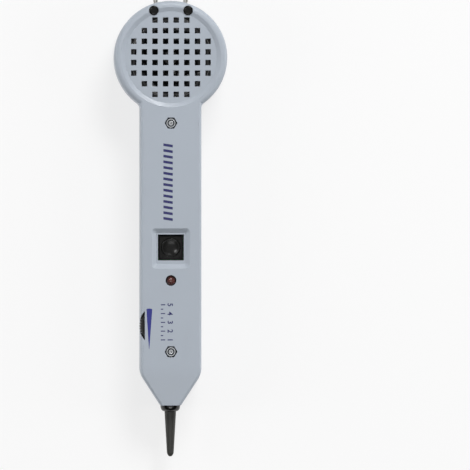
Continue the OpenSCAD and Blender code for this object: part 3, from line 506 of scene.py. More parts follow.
def with_hole(outer, inner, low, high, rounding=0.0, segments=2):
    """A plate with a hole through it: both outlines in millimetres, its top edges rounded."""
    bm, rings, sharp = bmesh.new(), [], 0.5
    for outline in (outer, inner):
        points = [bm.verts.new((x * MM, y * MM, low * MM)) for x, y in outline]
        rings += [bm.edges.new((a, b)) for a, b in zip(points, points[1:] + points[:1])]
    filled = bmesh.ops.triangle_fill(bm, edges=rings, use_beauty=True)["geom"]
    faces = [g for g in filled if isinstance(g, bmesh.types.BMFace)]
    up = bmesh.ops.extrude_face_region(bm, geom=faces)["geom"]
    raised = set(g for g in up if isinstance(g, bmesh.types.BMVert))
    bmesh.ops.translate(bm, verts=list(raised), vec=(0, 0, (high - low) * MM))
    bmesh.ops.recalc_face_normals(bm, faces=bm.faces)
    if rounding:
        round_edges(bm, [e for e in bm.edges if all(v in raised for v in e.verts) and len(e.link_faces) == 2
                         and e.calc_face_angle(0) > sharp], rounding, segments)
    return bm


def merged(*parts):
    """One bmesh that holds several."""
    bm = bmesh.new()
    for part in parts:
        kept = bpy.data.meshes.new("kept")
        part.to_mesh(kept)
        part.free()
        bm.from_mesh(kept)
        bpy.data.meshes.remove(kept)
    return bm


def piece(name, bm, body, materials, replaces=(), angle=32):
    """Makes the finished piece from a bmesh, smooth up to an angle, with its materials, on its body."""
    mesh = bpy.data.meshes.new(name)
    bm.to_mesh(mesh)
    bm.free()
    return finished(name, mesh, body, materials, replaces, angle)


def finished(name, mesh, body, materials, replaces=(), angle=32, levels=0):
    """Makes the finished piece from a mesh."""
    mesh.shade_smooth()
    mesh.set_sharp_from_angle(angle=radians(angle))
    for material in materials if isinstance(materials, (list, tuple)) else [materials]:
        mesh.materials.append(material)
    made = bpy.data.objects.new(name, mesh)
    bpy.context.scene.collection.objects.link(made)
    if levels:
        rounder = made.modifiers.new("Rounder", "SUBSURF")
        rounder.levels = rounder.render_levels = levels
    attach(made, body)
    if replaces:
        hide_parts(*replaces)
    return made


def from_cad(name, node, body, material, angle=32, levels=0):
    """A merged and smoothly shaded copy that stands for a CAD node of the right shape."""
    bm = bmesh.new()
    bm.from_mesh(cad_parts[node].data)
    bmesh.ops.remove_doubles(bm, verts=bm.verts, dist=1e-6)
    bmesh.ops.dissolve_degenerate(bm, edges=bm.edges, dist=1e-7)
    mesh = bpy.data.meshes.new(name)
    bm.to_mesh(mesh)
    bm.free()
    given_normals = mesh.attributes.get("custom_normal")
    if given_normals:
        mesh.attributes.remove(given_normals)
    mesh.materials.clear()
    made = finished(name, mesh, body, material, [node], angle, levels)
    if not levels:
        even = made.modifiers.new("Even", "WEIGHTED_NORMAL")
        even.keep_sharp = True
        even.weight = 80
    return made


# ---------------------------------------------------------------- operators


class PROBE_OT_case(bpy.types.Operator):
    """Builds both shells of the case and the battery door"""

    bl_idname = "probe.case"
    bl_label = "Case"

    def execute(self, context):
        look = settings("probe_case")
        shell = plastic("Satin case plastic", tuple(look.shell_color), look.shell_gloss,
                        grain=look.grain_size / MM, depth=0.006, cloud=0.05, edge=look.edge_softness / MM,
                        wear=0.25, smudge=0.07, scratch=0.03)
        from_cad("case_front", "front_shell", "case", shell, 20)
        from_cad("case_rear", "rear_shell", "case", shell, 20)
        from_cad("door_panel", "battery_door", "door", shell, 20)
        return {"FINISHED"}


class PROBE_OT_stage(bpy.types.Operator):
    """Builds the floor, the lamps and the camera"""

    bl_idname = "probe.stage"
    bl_label = "Stage"

    def execute(self, context):
        look = settings("probe_stage")
        scene = context.scene
        scene.view_settings.view_transform = "Standard"
        self.add_camera(scene, look)
        self.add_floor(look)
        self.add_lamp("key_lamp", (0.60, 1.62, 1.5), look.key_power, (1.05, 0.7))
        self.add_lamp("left_lamp", (-1.2, -0.1, 0.35), look.side_power, (0.4, 0.9), mirrored=False)
        self.add_lamp("right_lamp", (1.2, -0.1, 0.35), look.side_power, (0.4, 0.9), mirrored=False)
        self.add_lamp("upper_glint", (-1.5, 1.13, 3.45), look.upper_glint, (0.85, 0.5), lighting=False)
        self.add_lamp("lower_glint", (-0.05, -1.89, 3.55), look.lower_glint, (2.0, 0.85), lighting=False)
        self.add_sky(scene, look)
        return {"FINISHED"}

    def add_camera(self, scene, look):
        """A long lens well above the part, a little to its left."""
        made = bpy.data.objects.new("camera", bpy.data.cameras.new("camera"))
        scene.collection.objects.link(made)
        away = Vector(look.stand) - Vector(look.aim)
        made.location = look.stand
        made.rotation_mode = "QUATERNION"
        back = away.normalized()
        right = Vector((0, 1, 0)).cross(back).normalized()
        made.rotation_quaternion = Matrix((right, back.cross(right), back)).transposed().to_quaternion()
        made.data.sensor_width = 36
        made.data.lens = 36 * away.length / look.field
        made.data.clip_start, made.data.clip_end = 0.05, 20
        scene.camera = made

    def add_floor(self, look):
        """A large pale floor that keeps the part's shadow and is clear from below."""
        whitening = 0.72
        bm = bmesh.new()
        bmesh.ops.create_grid(bm, x_segments=1, y_segments=1, size=6,
                              matrix=Matrix.Translation((0, 0, -0.0002)))
        mesh = bpy.data.meshes.new("floor")
        bm.to_mesh(mesh)
        bm.free()
        made, tree, shader = new_material("Pale floor")
        mottle = put(tree, "ShaderNodeTexNoise", {"Vector": placed(tree), "Scale": 0.01,
                                                  "Detail": 2.0}).outputs[0]
        tree.links.new(mixed(tree, ranged(tree, mottle, 0.3, 0.7, 0.0, 0.02), tuple(look.floor_color),
                             screen(225, 225, 225)), shader.inputs["Base Color"])
        shader.inputs["Roughness"].default_value = 0.9
        shader.inputs["Specular IOR Level"].default_value = 0.0
        path = put(tree, "ShaderNodeLightPath").outputs
        seen = sum_of(tree, "MAXIMUM", path["Is Camera Ray"], self.mirrored_or_through(tree, path))
        white = put(tree, "ShaderNodeEmission", {"Color": (1, 1, 1, 1), "Strength": 1.0}).outputs[0]
        lit = put(tree, "ShaderNodeMixShader", {0: sum_of(tree, "MULTIPLY", seen, whitening),
                                                1: shader.outputs[0], 2: white}).outputs[0]
        clear = put(tree, "ShaderNodeBsdfTransparent").outputs[0]
        below = put(tree, "ShaderNodeNewGeometry").outputs["Backfacing"]
        both = put(tree, "ShaderNodeMixShader", {0: below, 1: lit, 2: clear}).outputs[0]
        tree.links.new(both, next(n for n in tree.nodes if n.type == "OUTPUT_MATERIAL").inputs["Surface"])
        mesh.materials.append(made)
        floor = bpy.data.objects.new("floor", mesh)
        bpy.context.scene.collection.objects.link(floor)
        floor.visible_diffuse = floor.visible_shadow = False

    def mirrored_or_through(self, tree, path):
        """1 for light that gloss mirrors or that comes through something clear, and 0 for the rest."""
        return sum_of(tree, "MAXIMUM", path["Is Glossy Ray"], path["Is Transmission Ray"])

    def add_lamp(self, name, place, power, sides, mirrored=True, lighting=True):
        """A soft rectangular lamp that points at the part, and may only light it or only be mirrored."""
        middle = Vector((0, -0.09, 0))
        light = bpy.data.lights.new(name, "AREA")
        light.shape = "RECTANGLE"
        light.size, light.size_y = sides
        light.energy = power
        made = bpy.data.objects.new(name, light)
        bpy.context.scene.collection.objects.link(made)
        made.location = place
        made.rotation_mode = "QUATERNION"
        made.rotation_quaternion = (middle - Vector(place)).to_track_quat("-Z", "Y")
        made.visible_glossy = mirrored
        made.visible_diffuse = lighting

    def add_sky(self, scene, look):
        """Even light, white where it is seen; gloss mirrors it white low down, then dark, then pale."""
        world = bpy.data.worlds.new("Studio")
        scene.world = world
        world.use_nodes = True
        tree = world.node_tree
        tree.nodes.clear()
        path = put(tree, "ShaderNodeLightPath").outputs
        up = put(tree, "ShaderNodeSeparateXYZ",
                 {0: put(tree, "ShaderNodeTexCoord").outputs["Generated"]}).outputs["Z"]
        mirrored = sum_of(tree, "ADD", ranged(tree, up, 0.1, 0.24, 1.0, 0.03),
                          ranged(tree, up, 0.7, 0.95, 0.0, 0.67))
        seen = self.mirrored_or_through(tree, path)
        level = sum_of(tree, "ADD", sum_of(tree, "MULTIPLY", seen, mirrored),
                       sum_of(tree, "MULTIPLY", sum_of(tree, "SUBTRACT", 1.0, seen), look.sky_level))
        level = sum_of(tree, "MAXIMUM", level, path["Is Camera Ray"])
        sky = put(tree, "ShaderNodeBackground", {"Color": (1, 1, 1, 1), "Strength": level}).outputs[0]
        tree.links.new(sky, put(tree, "ShaderNodeOutputWorld").inputs["Surface"])


class PROBE_OT_controls(bpy.types.Operator):
    """Builds the push button with its housing and spring, and the thumbwheel with its volume control"""

    bl_idname = "probe.controls"
    bl_label = "Button and thumbwheel"
    flange_width = 0.6

    def execute(self, context):
        look, black = settings("probe_controls"), tuple(settings("probe_hardware").black_color)
        self.add_housing(black)
        self.add_button(look, black)
        self.add_spring(look)
        self.add_wheel(look, black)
        return {"FINISHED"}

    def add_housing(self, black):
        """A square moulding with a lipped round bore and a small raised pad at each corner."""
        low, high, middle = span("switch_housing")
        button = span("push_button")
        lip, pad, clearance = 1.1, 0.45, 0.12
        bore = (button[1] - button[0]).x / 2 - self.flange_width + clearance
        side, at = high.x - low.x, (middle.x, middle.y)
        satin = plastic("Switch housing plastic", black, 0.38, grain=0.25, depth=0.003, cloud=0.12, edge=0.12,
                        wear=0.2, smudge=0.1, dust=0.03, level=0.18)
        body = with_hole(round_box(side, side, 0.6, at), circle(bore + 0.75, at), low.z, high.z - lip)
        lid = with_hole(round_box(side - 0.3, side - 0.3, 0.5, at), circle(bore, at, 64), high.z - lip,
                        high.z, 0.22, 3)
        pads = [block((middle.x + x - pad, middle.y + y - pad, high.z - 1.25),
                      (middle.x + x + pad, middle.y + y + pad, high.z + 0.12), 0.12)
                for x in (-4.6, 4.6) for y in (-4.6, 4.6)]
        piece("switch_body", merged(body, lid, *pads), "case", satin, ["switch_housing"])

    def add_button(self, look, black):
        """A round button with a hollowed glossy face, a rounded rim and a flange below."""
        low, high, middle = span("push_button")
        flange, flange_top = (high.x - low.x) / 2, low.z + 1.4
        outer, hollow, rim = flange - self.flange_width, look.button_hollow / MM, look.button_rim / MM
        face_r = outer - 0.75
        ball = (face_r ** 2 + hollow ** 2) / (2 * hollow)
        face = [(r, high.z - hollow + ball - sqrt(ball ** 2 - r ** 2))
                for r in (face_r * i / 12 for i in range(12))]
        profile = soften([(0, low.z), (flange - 0.1, low.z), (flange, low.z + 0.1), (flange, flange_top, 0.1),
                          (outer, flange_top, 0.05), (outer, high.z, rim),
                          (face_r, high.z, 0.3)] + face[::-1])
        gloss = plastic("Glossy button plastic", black, 0.24, grain=0.6, depth=0.0015, cloud=0.1, edge=0.05,
                        wear=0.1, smudge=0.08, scratch=0.06, level=0.25)
        piece("button_cap", turned(profile, (middle.x, middle.y, 0), 72), "button", gloss,
              ["push_button"])

    def add_spring(self, look):
        """A coil of round wire with closed ends."""
        low, high, middle = span("button_spring")
        wire, steps, closed = 0.2, 28, 0.12
        coil_r = (high.x - low.x) / 2 - wire
        count = int(look.spring_turns * steps)
        steel = metal("Spring steel", screen(150, 150, 148), 0.3, "drawn", pitch=0.1)
        curve = bpy.data.curves.new("spring", "CURVE")
        curve.dimensions = "3D"
        curve.bevel_depth, curve.bevel_resolution, curve.use_fill_caps = wire * MM, 3, True
        line = curve.splines.new("POLY")
        line.points.add(count)
        for i in range(count + 1):
            risen = min(max((i / count - closed) / (1 - 2 * closed), 0), 1)
            height = low.z + wire + (high.z - low.z - 2 * wire) * risen
            a = FULL_TURN * i / steps
            line.points[i].co = ((middle.x + coil_r * cos(a)) * MM, (middle.y + coil_r * sin(a)) * MM,
                                 height * MM, 1)
        shape = bpy.data.objects.new("spring", curve)
        mesh = bpy.data.meshes.new_from_object(shape)
        bpy.data.objects.remove(shape)
        made = finished("spring_coil", mesh, "case", steel, ["button_spring"], 60)
        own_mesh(made)

    def add_wheel(self, look, black):
        """A toothed thumbwheel with a dished face, its screw, its shaft and the control below."""
        low, high, middle = span("volume_wheel")
        outer, depth, teeth = (high.x - low.x) / 2, look.tooth_depth / MM, 48
        rim = []
        for i in range(teeth):
            for part_turn, cut in ((0.0, 0.0), (0.3, 0.0), (0.5, 1.0), (0.8, 1.0)):
                a = FULL_TURN * (i + part_turn) / teeth
                rim.append((middle.x + (outer - depth * cut) * cos(a),
                            middle.y + (outer - depth * cut) * sin(a)))
        # Pale edges on the teeth: partly real wear and partly painted highlight for the glints on the knurl.
        rubber = plastic("Thumbwheel plastic", black, 0.3, grain=0.3, depth=0.004, cloud=0.12, edge=0.2,
                         wear=0.9, smudge=0.08, dust=0.08, wear_and_glint_color=screen(170, 170, 168))
        bore, hub, band_inner, at = 1.55, 4.4, outer - 2, (middle.x, middle.y)
        band = with_hole(rim, circle(band_inner, at, 60), low.z, high.z, 0.3)
        dish = with_hole(circle(band_inner, at, 60), circle(hub, at, 60), low.z, high.z - 0.5)
        hub_ring = turned(soften([(bore, low.z), (hub, low.z), (hub, high.z, 0.25), (3.1, high.z, 0.15),
                                  (3.0, high.z - 1.2), (bore, high.z - 1.2), (bore, low.z)]), (*at, 0), 60)
        piece("thumbwheel", merged(band, dish, hub_ring), "wheel", rubber, ["volume_wheel"])
        steel = metal("Wheel screw steel", tuple(settings("probe_hardware").steel_color), 0.3,
                      centre=(middle.x, middle.y, 0), pitch=0.1)
        from_cad("wheel_screw_head", "wheel_screw", "wheel", steel)
        from_cad("control_shaft", "pot_shaft", "wheel", steel)
        grey = plastic("Volume control can", screen(98, 98, 100), 0.45, grain=0.5, depth=0.004, cloud=0.15,
                       edge=0.2)
        from_cad("volume_control", "volume_pot", "case", grey)


class PROBE_OT_lamp(bpy.types.Operator):
    """Builds the lamp: its red lens, the cup and post inside it, and its legs"""

    bl_idname = "probe.lamp"
    bl_label = "Lamp"

    def execute(self, context):
        look = settings("probe_controls")
        low, high, middle = span("led")
        flange = (high.x - low.x) / 2
        r, top = flange - 0.4, high.z
        dome = [(r * cos(i * pi / 20), top - r + r * sin(i * pi / 20)) for i in range(11)]
        dome[-1] = (0, top)
        outline = [(0, low.z), (flange - 0.1, low.z), (flange, low.z + 0.12), (flange, low.z + 0.9),
                   (flange - 0.1, low.z + 1), (r, low.z + 1)] + dome
        lens, tree, shader = new_material("Lamp lens")
        where = placed(tree)
        cloud = put(tree, "ShaderNodeTexNoise", {"Vector": where, "Scale": 0.8, "Detail": 4.0}).outputs[0]
        deep = tuple(0.45 * c for c in look.lamp_color[:3]) + (1,)
        tree.links.new(mixed(tree, ranged(tree, cloud, 0.3, 0.7, 0.0, 0.6), tuple(look.lamp_color), deep),
                       shader.inputs["Base Color"])
        marks = use_group(tree, "Hand marks", vector=where, smudges=0.04, scratches=0.03)
        tree.links.new(sum_of(tree, "ADD", marks["Change"], 0.12, use_clamp=True), shader.inputs["Roughness"])
        shader.inputs["Transmission Weight"].default_value = 0.45
        shader.inputs["IOR"].default_value = 1.5
        shader.inputs["Coat Weight"].default_value = 0.4
        piece("lamp_lens", turned(outline, (middle.x, middle.y, 0), 64), "case", lens,
              ["led"], 40)
        tin = metal("Lamp lead frame", screen(190, 188, 182), 0.35, "drawn", pitch=0.15)
        cup = turned(soften([(0, low.z + 1.2), (0.9, low.z + 1.2, 0.1), (1.05, low.z + 4.4),
                             (1.25, low.z + 4.9, 0.1), (1.1, low.z + 4.9, 0.05), (0.55, low.z + 4.3, 0.1),
                             (0, low.z + 4.3)]),
                     (middle.x + 0.45, middle.y, 0), 32)
        post = block((middle.x - 1.5, middle.y - 0.25, low.z + 1.2),
                     (middle.x - 0.95, middle.y + 0.25, low.z + 4.6), 0.08)
        piece("lamp_cup", merged(cup, post), "case", tin)
        from_cad("lamp_legs", "led_legs", "case", tin)
        return {"FINISHED"}


class PROBE_OT_nose(bpy.types.Operator):
    """Builds the probe tip, the collar around it and its contact and wire"""

    bl_idname = "probe.nose"
    bl_label = "Tip and collar"

    def execute(self, context):
        look = settings("probe_hardware")
        low, high, middle = span("probe_tip")
        cap_low, cap_high, _ = span("tip_collar")
        inner, mouth, point = -high.y, -cap_low.y, -low.y
        root, end = 3.0, 1.7
        at = (middle.x, 0, middle.z)
        flange = (high.x - low.x) / 2
        tip = soften([(0, inner), (flange - 0.15, inner), (flange, inner + 0.15), (flange, inner + 1.35),
                      (root, inner + 1.4), (root, mouth), (end + 0.04, point - 1.6, 0.7),
                      (end * 0.62, point - 0.35, 0.5), (0.3, point), (0, point)], 6)
        satin = plastic("Satin tip plastic", tuple(look.tip_color), 0.44, grain=0.35, depth=0.006, cloud=0.1,
                        edge=0.1, wear=0.3, smudge=0.12, scratch=0.08, level=0.34)
        piece("tip_rod", turned(tip, at, 72, (0, -1, 0)), "case", satin, ["probe_tip"])
        outer, bore, lip = 5.1, 3.05, 0.35
        back, face = -cap_high.y, 178.7
        sleeve, rib = bore + 0.95, bore + 1.55
        dome = [(bore + lip + (outer - bore - lip) * cos(a), face + lip + (mouth - face - lip) * sin(a))
                for a in (i * pi / 24 for i in range(13))]
        collar = [(bore, back), (rib, back), (rib, back + 1.5), (sleeve, back + 1.5), (sleeve, face),
                  (outer - 0.15, face), (outer, face + 0.15)] + dome + [(bore, mouth - 0.2), (bore, back)]
        gloss = plastic("Glossy collar plastic", tuple(look.black_color), 0.2, grain=0.5, depth=0.002,
                        cloud=0.1, edge=0.08, wear=0.2, smudge=0.08, scratch=0.05, coat=0.2)
        piece("nose_collar", turned(collar, at, 72, (0, -1, 0)), "case", gloss,
              ["tip_collar"])
        brass = metal("Contact brass", screen(196, 160, 84), 0.35, centre=at, turn=(pi / 2, 0, 0))
        from_cad("tip_spring_contact", "tip_contact", "case", brass)
        from_cad("tip_wire", "tip_lead", "case", insulation("Blue wire", (44, 66, 150)), 60,
                 levels=1)
        return {"FINISHED"}


def insulation(name, color):
    """Soft vinyl of a wire in one colour."""
    return plastic(name, screen(*color), 0.36, grain=0.5, depth=0.003, cloud=0.12, edge=0.05, smudge=0.12)


class PROBE_OT_hardware(bpy.types.Operator):
    """Builds the case screws, their nuts, and the nibs and caps on the head"""

    bl_idname = "probe.hardware"
    bl_label = "Screws, nuts and terminals"
    head_radius = 2.8

    def execute(self, context):
        look = settings("probe_hardware")
        steel = tuple(look.steel_color)
        self.add_nuts(look, steel)
        self.add_screws(look, steel)
        self.add_terminals(look)
        return {"FINISHED"}

    def add_nuts(self, look, steel):
        """Two hexagon nuts, chamfered and countersunk on both sides, the upper square to the handle, their
        sloped and side faces in darker steel as painted shade.
        """
        zinc = metal("Zinc plated nuts", steel, 0.14, "drawn", pitch=0.2, edge=0.03, wear=0.05,
                     dull=(176, 178, 180))
        low, high, _ = span("case_nuts")
        flat, round_r, face_r = 2.75, 3.4, 2.25
        bore, sink_r, sink = 1.47, 1.85, 0.45
        drop = (round_r - face_r) * tan(radians(look.nut_chamfer))
        profile = [(bore, low.z + sink), (bore, high.z - sink), (sink_r, high.z), (face_r, high.z),
                   (round_r, high.z - drop), (round_r, low.z + drop), (face_r, low.z), (sink_r, low.z),
                   (bore, low.z + sink)]
        parts = []
        for y, turn in zip(self.screw_rows(), (0.0, radians(13))):
            nut = turned(profile, (0, y, 0), 72)
            for k in range(6):
                a = turn + pi / 6 + k * pi / 3
                cut = bmesh.ops.bisect_plane(nut, geom=nut.verts[:] + nut.edges[:] + nut.faces[:], dist=1e-8,
                                             plane_co=Vector((flat * cos(a), y + flat * sin(a), 0)) * MM,
                                             plane_no=(cos(a), sin(a), 0), clear_outer=True)["geom_cut"]
                bmesh.ops.edgeloop_fill(nut, edges=[g for g in cut if isinstance(g, bmesh.types.BMEdge)])
            bmesh.ops.recalc_face_normals(nut, faces=nut.faces)
            parts.append(nut)
        # Darker steel on every face that doesn't face straight up or down: painted shade for the shadowed gap
        # around each nut in its pocket.
        flank_shade = metal("Nut flanks painted shade", screen(84, 86, 90), 0.42, "drawn", pitch=0.2, edge=0.03, wear=0.2,
                      dull=(60, 60, 62))
        made = piece("case_nut_pair", merged(*parts), "case", [zinc, flank_shade], ["case_nuts"], 20)
        for face in made.data.polygons:
            face.material_index = 1 if abs(face.normal.z) < 0.99 else 0

    def screw_rows(self):
        """Y of the upper and the lower screw, in millimetres."""
        low, high, _ = span("case_screws")
        return high.y - self.head_radius, low.y + self.head_radius

    def add_screws(self, look, steel):
        """Two long screws with a pan head, a cross recess and a threaded end with a dimple."""
        zinc = metal("Zinc plated screws", steel, 0.2, pitch=0.14, edge=0.05, wear=0.1, dull=(176, 178, 180))
        low, high, _ = span("case_screws")
        pitch, r, head, end = look.thread_pitch / MM, 1.45, self.head_radius, high.z
        threaded, sharp = 9, 18
        profile = [(0, low.z + 0.02), (1.3, low.z + 0.02), (head - 0.5, low.z + 0.14),
                   (head - 0.12, low.z + 0.55), (head, low.z + 1.0), (head, low.z + 2), (r, low.z + 2),
                   (r, end - threaded)]
        for i in range(int((threaded - 0.6) / pitch)):
            z = end - threaded + 0.2 + i * pitch
            profile += [(r, z), (r - 0.27, z + pitch * 0.5), (r, z + pitch)]
        profile += [(r, end - 0.35), (r - 0.3, end - 0.04), (r - 0.36, end), (0.62, end), (0.55, end - 0.05),
                    (0.3, end - 0.22), (0, end - 0.26)]
        pair = merged(*[turned(profile, (0, y, 0), 40) for y in self.screw_rows()])
        made = piece("case_screw_pair", pair, "case", zinc, ["case_screws"], sharp)
        cutter = self.cross_cutter(low.z)
        cut = made.modifiers.new("Cross recess", "BOOLEAN")
        cut.operation, cut.object, cut.solver = "DIFFERENCE", cutter, "EXACT"
        bpy.context.view_layer.update()
        done = bpy.data.meshes.new_from_object(made.evaluated_get(bpy.context.evaluated_depsgraph_get()))
        made.modifiers.clear()
        if not done.polygons:
            raise RuntimeError("The cross recess took the whole screw away")
        made.data = done
        bpy.data.objects.remove(cutter)
        made.data.shade_smooth()
        made.data.set_sharp_from_angle(angle=radians(sharp))
        made.data.materials.clear()
        made.data.materials.append(zinc)

    def cross_cutter(self, bottom):
        """A tapered cross at each screw's head."""
        arm, half, parts = 1.55, 0.32, []
        outline = [(arm, -half), (arm, half), (half, half), (half, arm), (-half, arm), (-half, half),
                   (-arm, half), (-arm, -half), (-half, -half), (-half, -arm), (half, -arm), (half, -half)]
        for y in self.screw_rows():
            cross = slab(outline, bottom - 0.5, bottom + 1.35)
            for v in cross.verts:
                if v.co.z > bottom * MM:
                    v.co.xy *= 0.5
            bmesh.ops.rotate(cross, verts=cross.verts, cent=(0, 0, 0),
                             matrix=Matrix.Rotation(radians(8), 3, "Z"))
            bmesh.ops.translate(cross, verts=cross.verts, vec=(0, y * MM, 0))
            parts.append(cross)
        mesh = bpy.data.meshes.new("cutter")
        bm = merged(*parts)
        bm.to_mesh(mesh)
        bm.free()
        made = bpy.data.objects.new("cutter", mesh)
        bpy.context.scene.collection.objects.link(made)
        return made

    def add_terminals(self, look):
        """Turned nibs with flat tongues, glossy caps on stems, lock washers and their wires."""
        nickel = metal("Nickel plated brass", screen(214, 212, 206), 0.32, "drawn", pitch=0.12, edge=0.1,
                       dull=(170, 168, 160))
        from_cad("nib_pins", "terminal_nibs", "case", nickel, 40)
        from_cad("stem_washers", "terminal_washers", "case", nickel)
        low, high, _ = span("terminal_caps")
        r, stem, crown = 2.4, 0.9, 0.55
        dome = [(r * cos(a) ** 0.8, high.z - crown + crown * sin(a))
                for a in (i * pi / 20 for i in range(10))]
        profile = [(0, low.z), (stem - 0.15, low.z), (stem, low.z + 0.15), (stem, high.z - 1.1),
                   (r - 0.12, high.z - 1.1), (r, high.z - 1.0)] + dome + [(0, high.z)]
        pair = merged(*[turned(profile, (side * (high.x - r), high.y - r, 0), 56) for side in (-1, 1)])
        gloss = plastic("Glossy cap plastic", tuple(look.black_color), 0.12, grain=0.6, depth=0.001,
                        cloud=0.1, edge=0.06, wear=0.1, smudge=0.06, scratch=0.04, level=0.22)
        piece("terminal_button_pair", pair, "case", gloss, ["terminal_caps"], 50)
        yellow = insulation("Yellow wire", (206, 172, 60))
        from_cad("terminal_wires", "terminal_leads", "case", yellow, 60, levels=1)


def lying(bm):
    """Turns a bmesh made upright so that its height runs towards -Y and its second side towards +Z."""
    bmesh.ops.rotate(bm, verts=bm.verts, cent=(0, 0, 0), matrix=Matrix.Rotation(pi / 2, 3, "X"))
    return bm


class PROBE_OT_speaker(bpy.types.Operator):
    """Builds the speaker: gasket, basket, ribbed cone, magnet, tags and wires"""

    bl_idname = "probe.speaker"
    bl_label = "Speaker"

    def execute(self, context):
        look = settings("probe_inside")
        foam = plastic("Gasket foam", screen(20, 20, 21), 0.9, grain=0.5, depth=0.08, cloud=0.25, edge=0.2,
                       dust=0.05)
        low, high, _ = span("speaker_gasket")
        outer, inner = high.x, high.x - 1.7
        ring = turned(soften([(inner, low.z), (outer, low.z), (outer, high.z, 0.25), (inner, high.z, 0.25),
                              (inner, low.z)]), (0, 0, 0), 96)
        piece("gasket_ring", ring, "case", foam, ["speaker_gasket"])
        steel = metal("Basket steel", screen(150, 150, 150), 0.36, "drawn", pitch=0.5, edge=0.3)
        from_cad("basket", "speaker_frame", "case", steel)
        self.add_cone(look)
        self.add_magnet()
        self.add_tags()
        vinyl = insulation("Grey wire", (132, 132, 136))
        from_cad("speaker_wires", "speaker_leads", "case", vinyl, 60, levels=1)
        return {"FINISHED"}

    def add_cone(self, look):
        """A film cone: rolled surround, pressed ribs that lean, and a domed cap over the coil."""
        low, high, _ = span("speaker_cone")
        rim, cap_r, cap_top, crown = high.x, 5.4, high.z - 2.8, 1.4
        surround, foot = rim - 2.8, cap_r + 0.4
        fall = (high.z - 0.4 - cap_top + crown) / (17.8 - cap_r)
        ribs, rib_depth, bend = look.cone_ribs, 0.16, 0.03
        profile = [(rim, high.z - 0.3)]
        profile += [(rim - 0.2 - 2.6 * i / 8, high.z - 0.38 + 0.34 * sin(pi * i / 8)) for i in range(9)]
        for i in range(1, 15):
            r = surround - (surround - foot) * i / 14
            profile.append((r, high.z - 0.4 - (surround - r) * fall))
        profile += [(cap_r * cos(i * pi / 16), cap_top - crown + crown * sin(i * pi / 16)) for i in range(8)]
        bm = turned(profile + [(0, cap_top)], (0, 0, 0), ribs * 6)
        for v in bm.verts:
            r, a = v.co.xy.length / MM, atan2(v.co.y, v.co.x)
            if foot < r < surround:
                depth = rib_depth * sin(pi * (surround - r) / (surround - foot))
                v.co.z -= depth * (1 - cos(ribs * (a + (18 - r) * bend))) * MM
        if sum(f.normal.z for f in bm.faces) < 0:
            bmesh.ops.reverse_faces(bm, faces=bm.faces)
        bmesh.ops.solidify(bm, geom=bm.faces[:], thickness=0.25 * MM)
        film = plastic("Cone film", screen(20, 20, 21), 0.2, grain=0.8, depth=0.003, cloud=0.2, edge=0.1,
                       dust=0.02)
        piece("cone", bm, "case", film, ["speaker_cone"], 50)
        former = metal("Coil wire", screen(176, 106, 62), 0.35, pitch=0.2, depth=0.05)
        inner, outer, top = 5.0, 5.35, cap_top - 1.6
        coil = turned([(inner, low.z), (outer, low.z), (outer, top), (inner, top), (inner, low.z)],
                      (0, 0, 0), 64)
        piece("voice_coil", coil, "case", former)

    def add_magnet(self):
        """A dark sintered ring between a plated base with its pole and a plated ring."""
        low, high, _ = span("speaker_magnet")
        r, base, seam, top = high.x, low.z + 1.6, 11.6, 13
        plate = metal("Pole plating", screen(176, 176, 172), 0.3, pitch=0.2)
        cup = turned(soften([(0, low.z), (r, low.z, 0.3), (r, base, 0.1), (4.6, base), (4.6, high.z, 0.2),
                             (0, high.z)]), (0, 0, 0), 72)
        lip = turned(soften([(6.4, seam), (r - 0.4, seam), (r - 0.4, top, 0.2), (6.4, top, 0.2),
                             (6.4, seam)]), (0, 0, 0), 72)
        ring = turned(soften([(6.6, base), (r - 0.1, base, 0.2), (r - 0.1, seam, 0.2), (6.6, seam),
                              (6.6, base)]), (0, 0, 0), 72)
        piece("magnet_plates", merged(cup, lip), "case", plate, ["speaker_magnet"])
        ferrite = plastic("Ferrite", screen(56, 55, 57), 0.62, grain=0.6, depth=0.02, cloud=0.3, edge=0.3,
                          wear=0.3, dust=0.1)
        piece("magnet_ring", ring, "case", ferrite)

    def add_tags(self):
        """A strip of laminated paper with two brass tags riveted to it."""
        low, high, middle = span("speaker_tags")
        card = plastic("Tag strip", screen(150, 104, 56), 0.5, grain=0.3, depth=0.01, cloud=0.3, edge=0.1)
        strip = block((low.x, low.y, high.z - 0.8), high, 0.12, 2)
        piece("tag_strip", strip, "case", card, ["speaker_tags"])
        brass = metal("Tag brass", screen(196, 166, 96), 0.34, "drawn", pitch=0.2)
        rivet = [(0, high.z - 1.05), (0.55, high.z - 1.05), (0.7, high.z - 0.9), (0.7, high.z - 0.75),
                 (0, high.z - 0.75)]
        parts = []
        for x in (-3.5, 3.5):
            parts.append(block((x - 1, low.y + 0.3, low.z), (x + 1, low.y + 0.8, high.z - 0.7), 0.12, 2))
            parts.append(turned(rivet, (x, middle.y + 0.2, 0), 24))
        piece("solder_tags", merged(*parts), "case", brass)


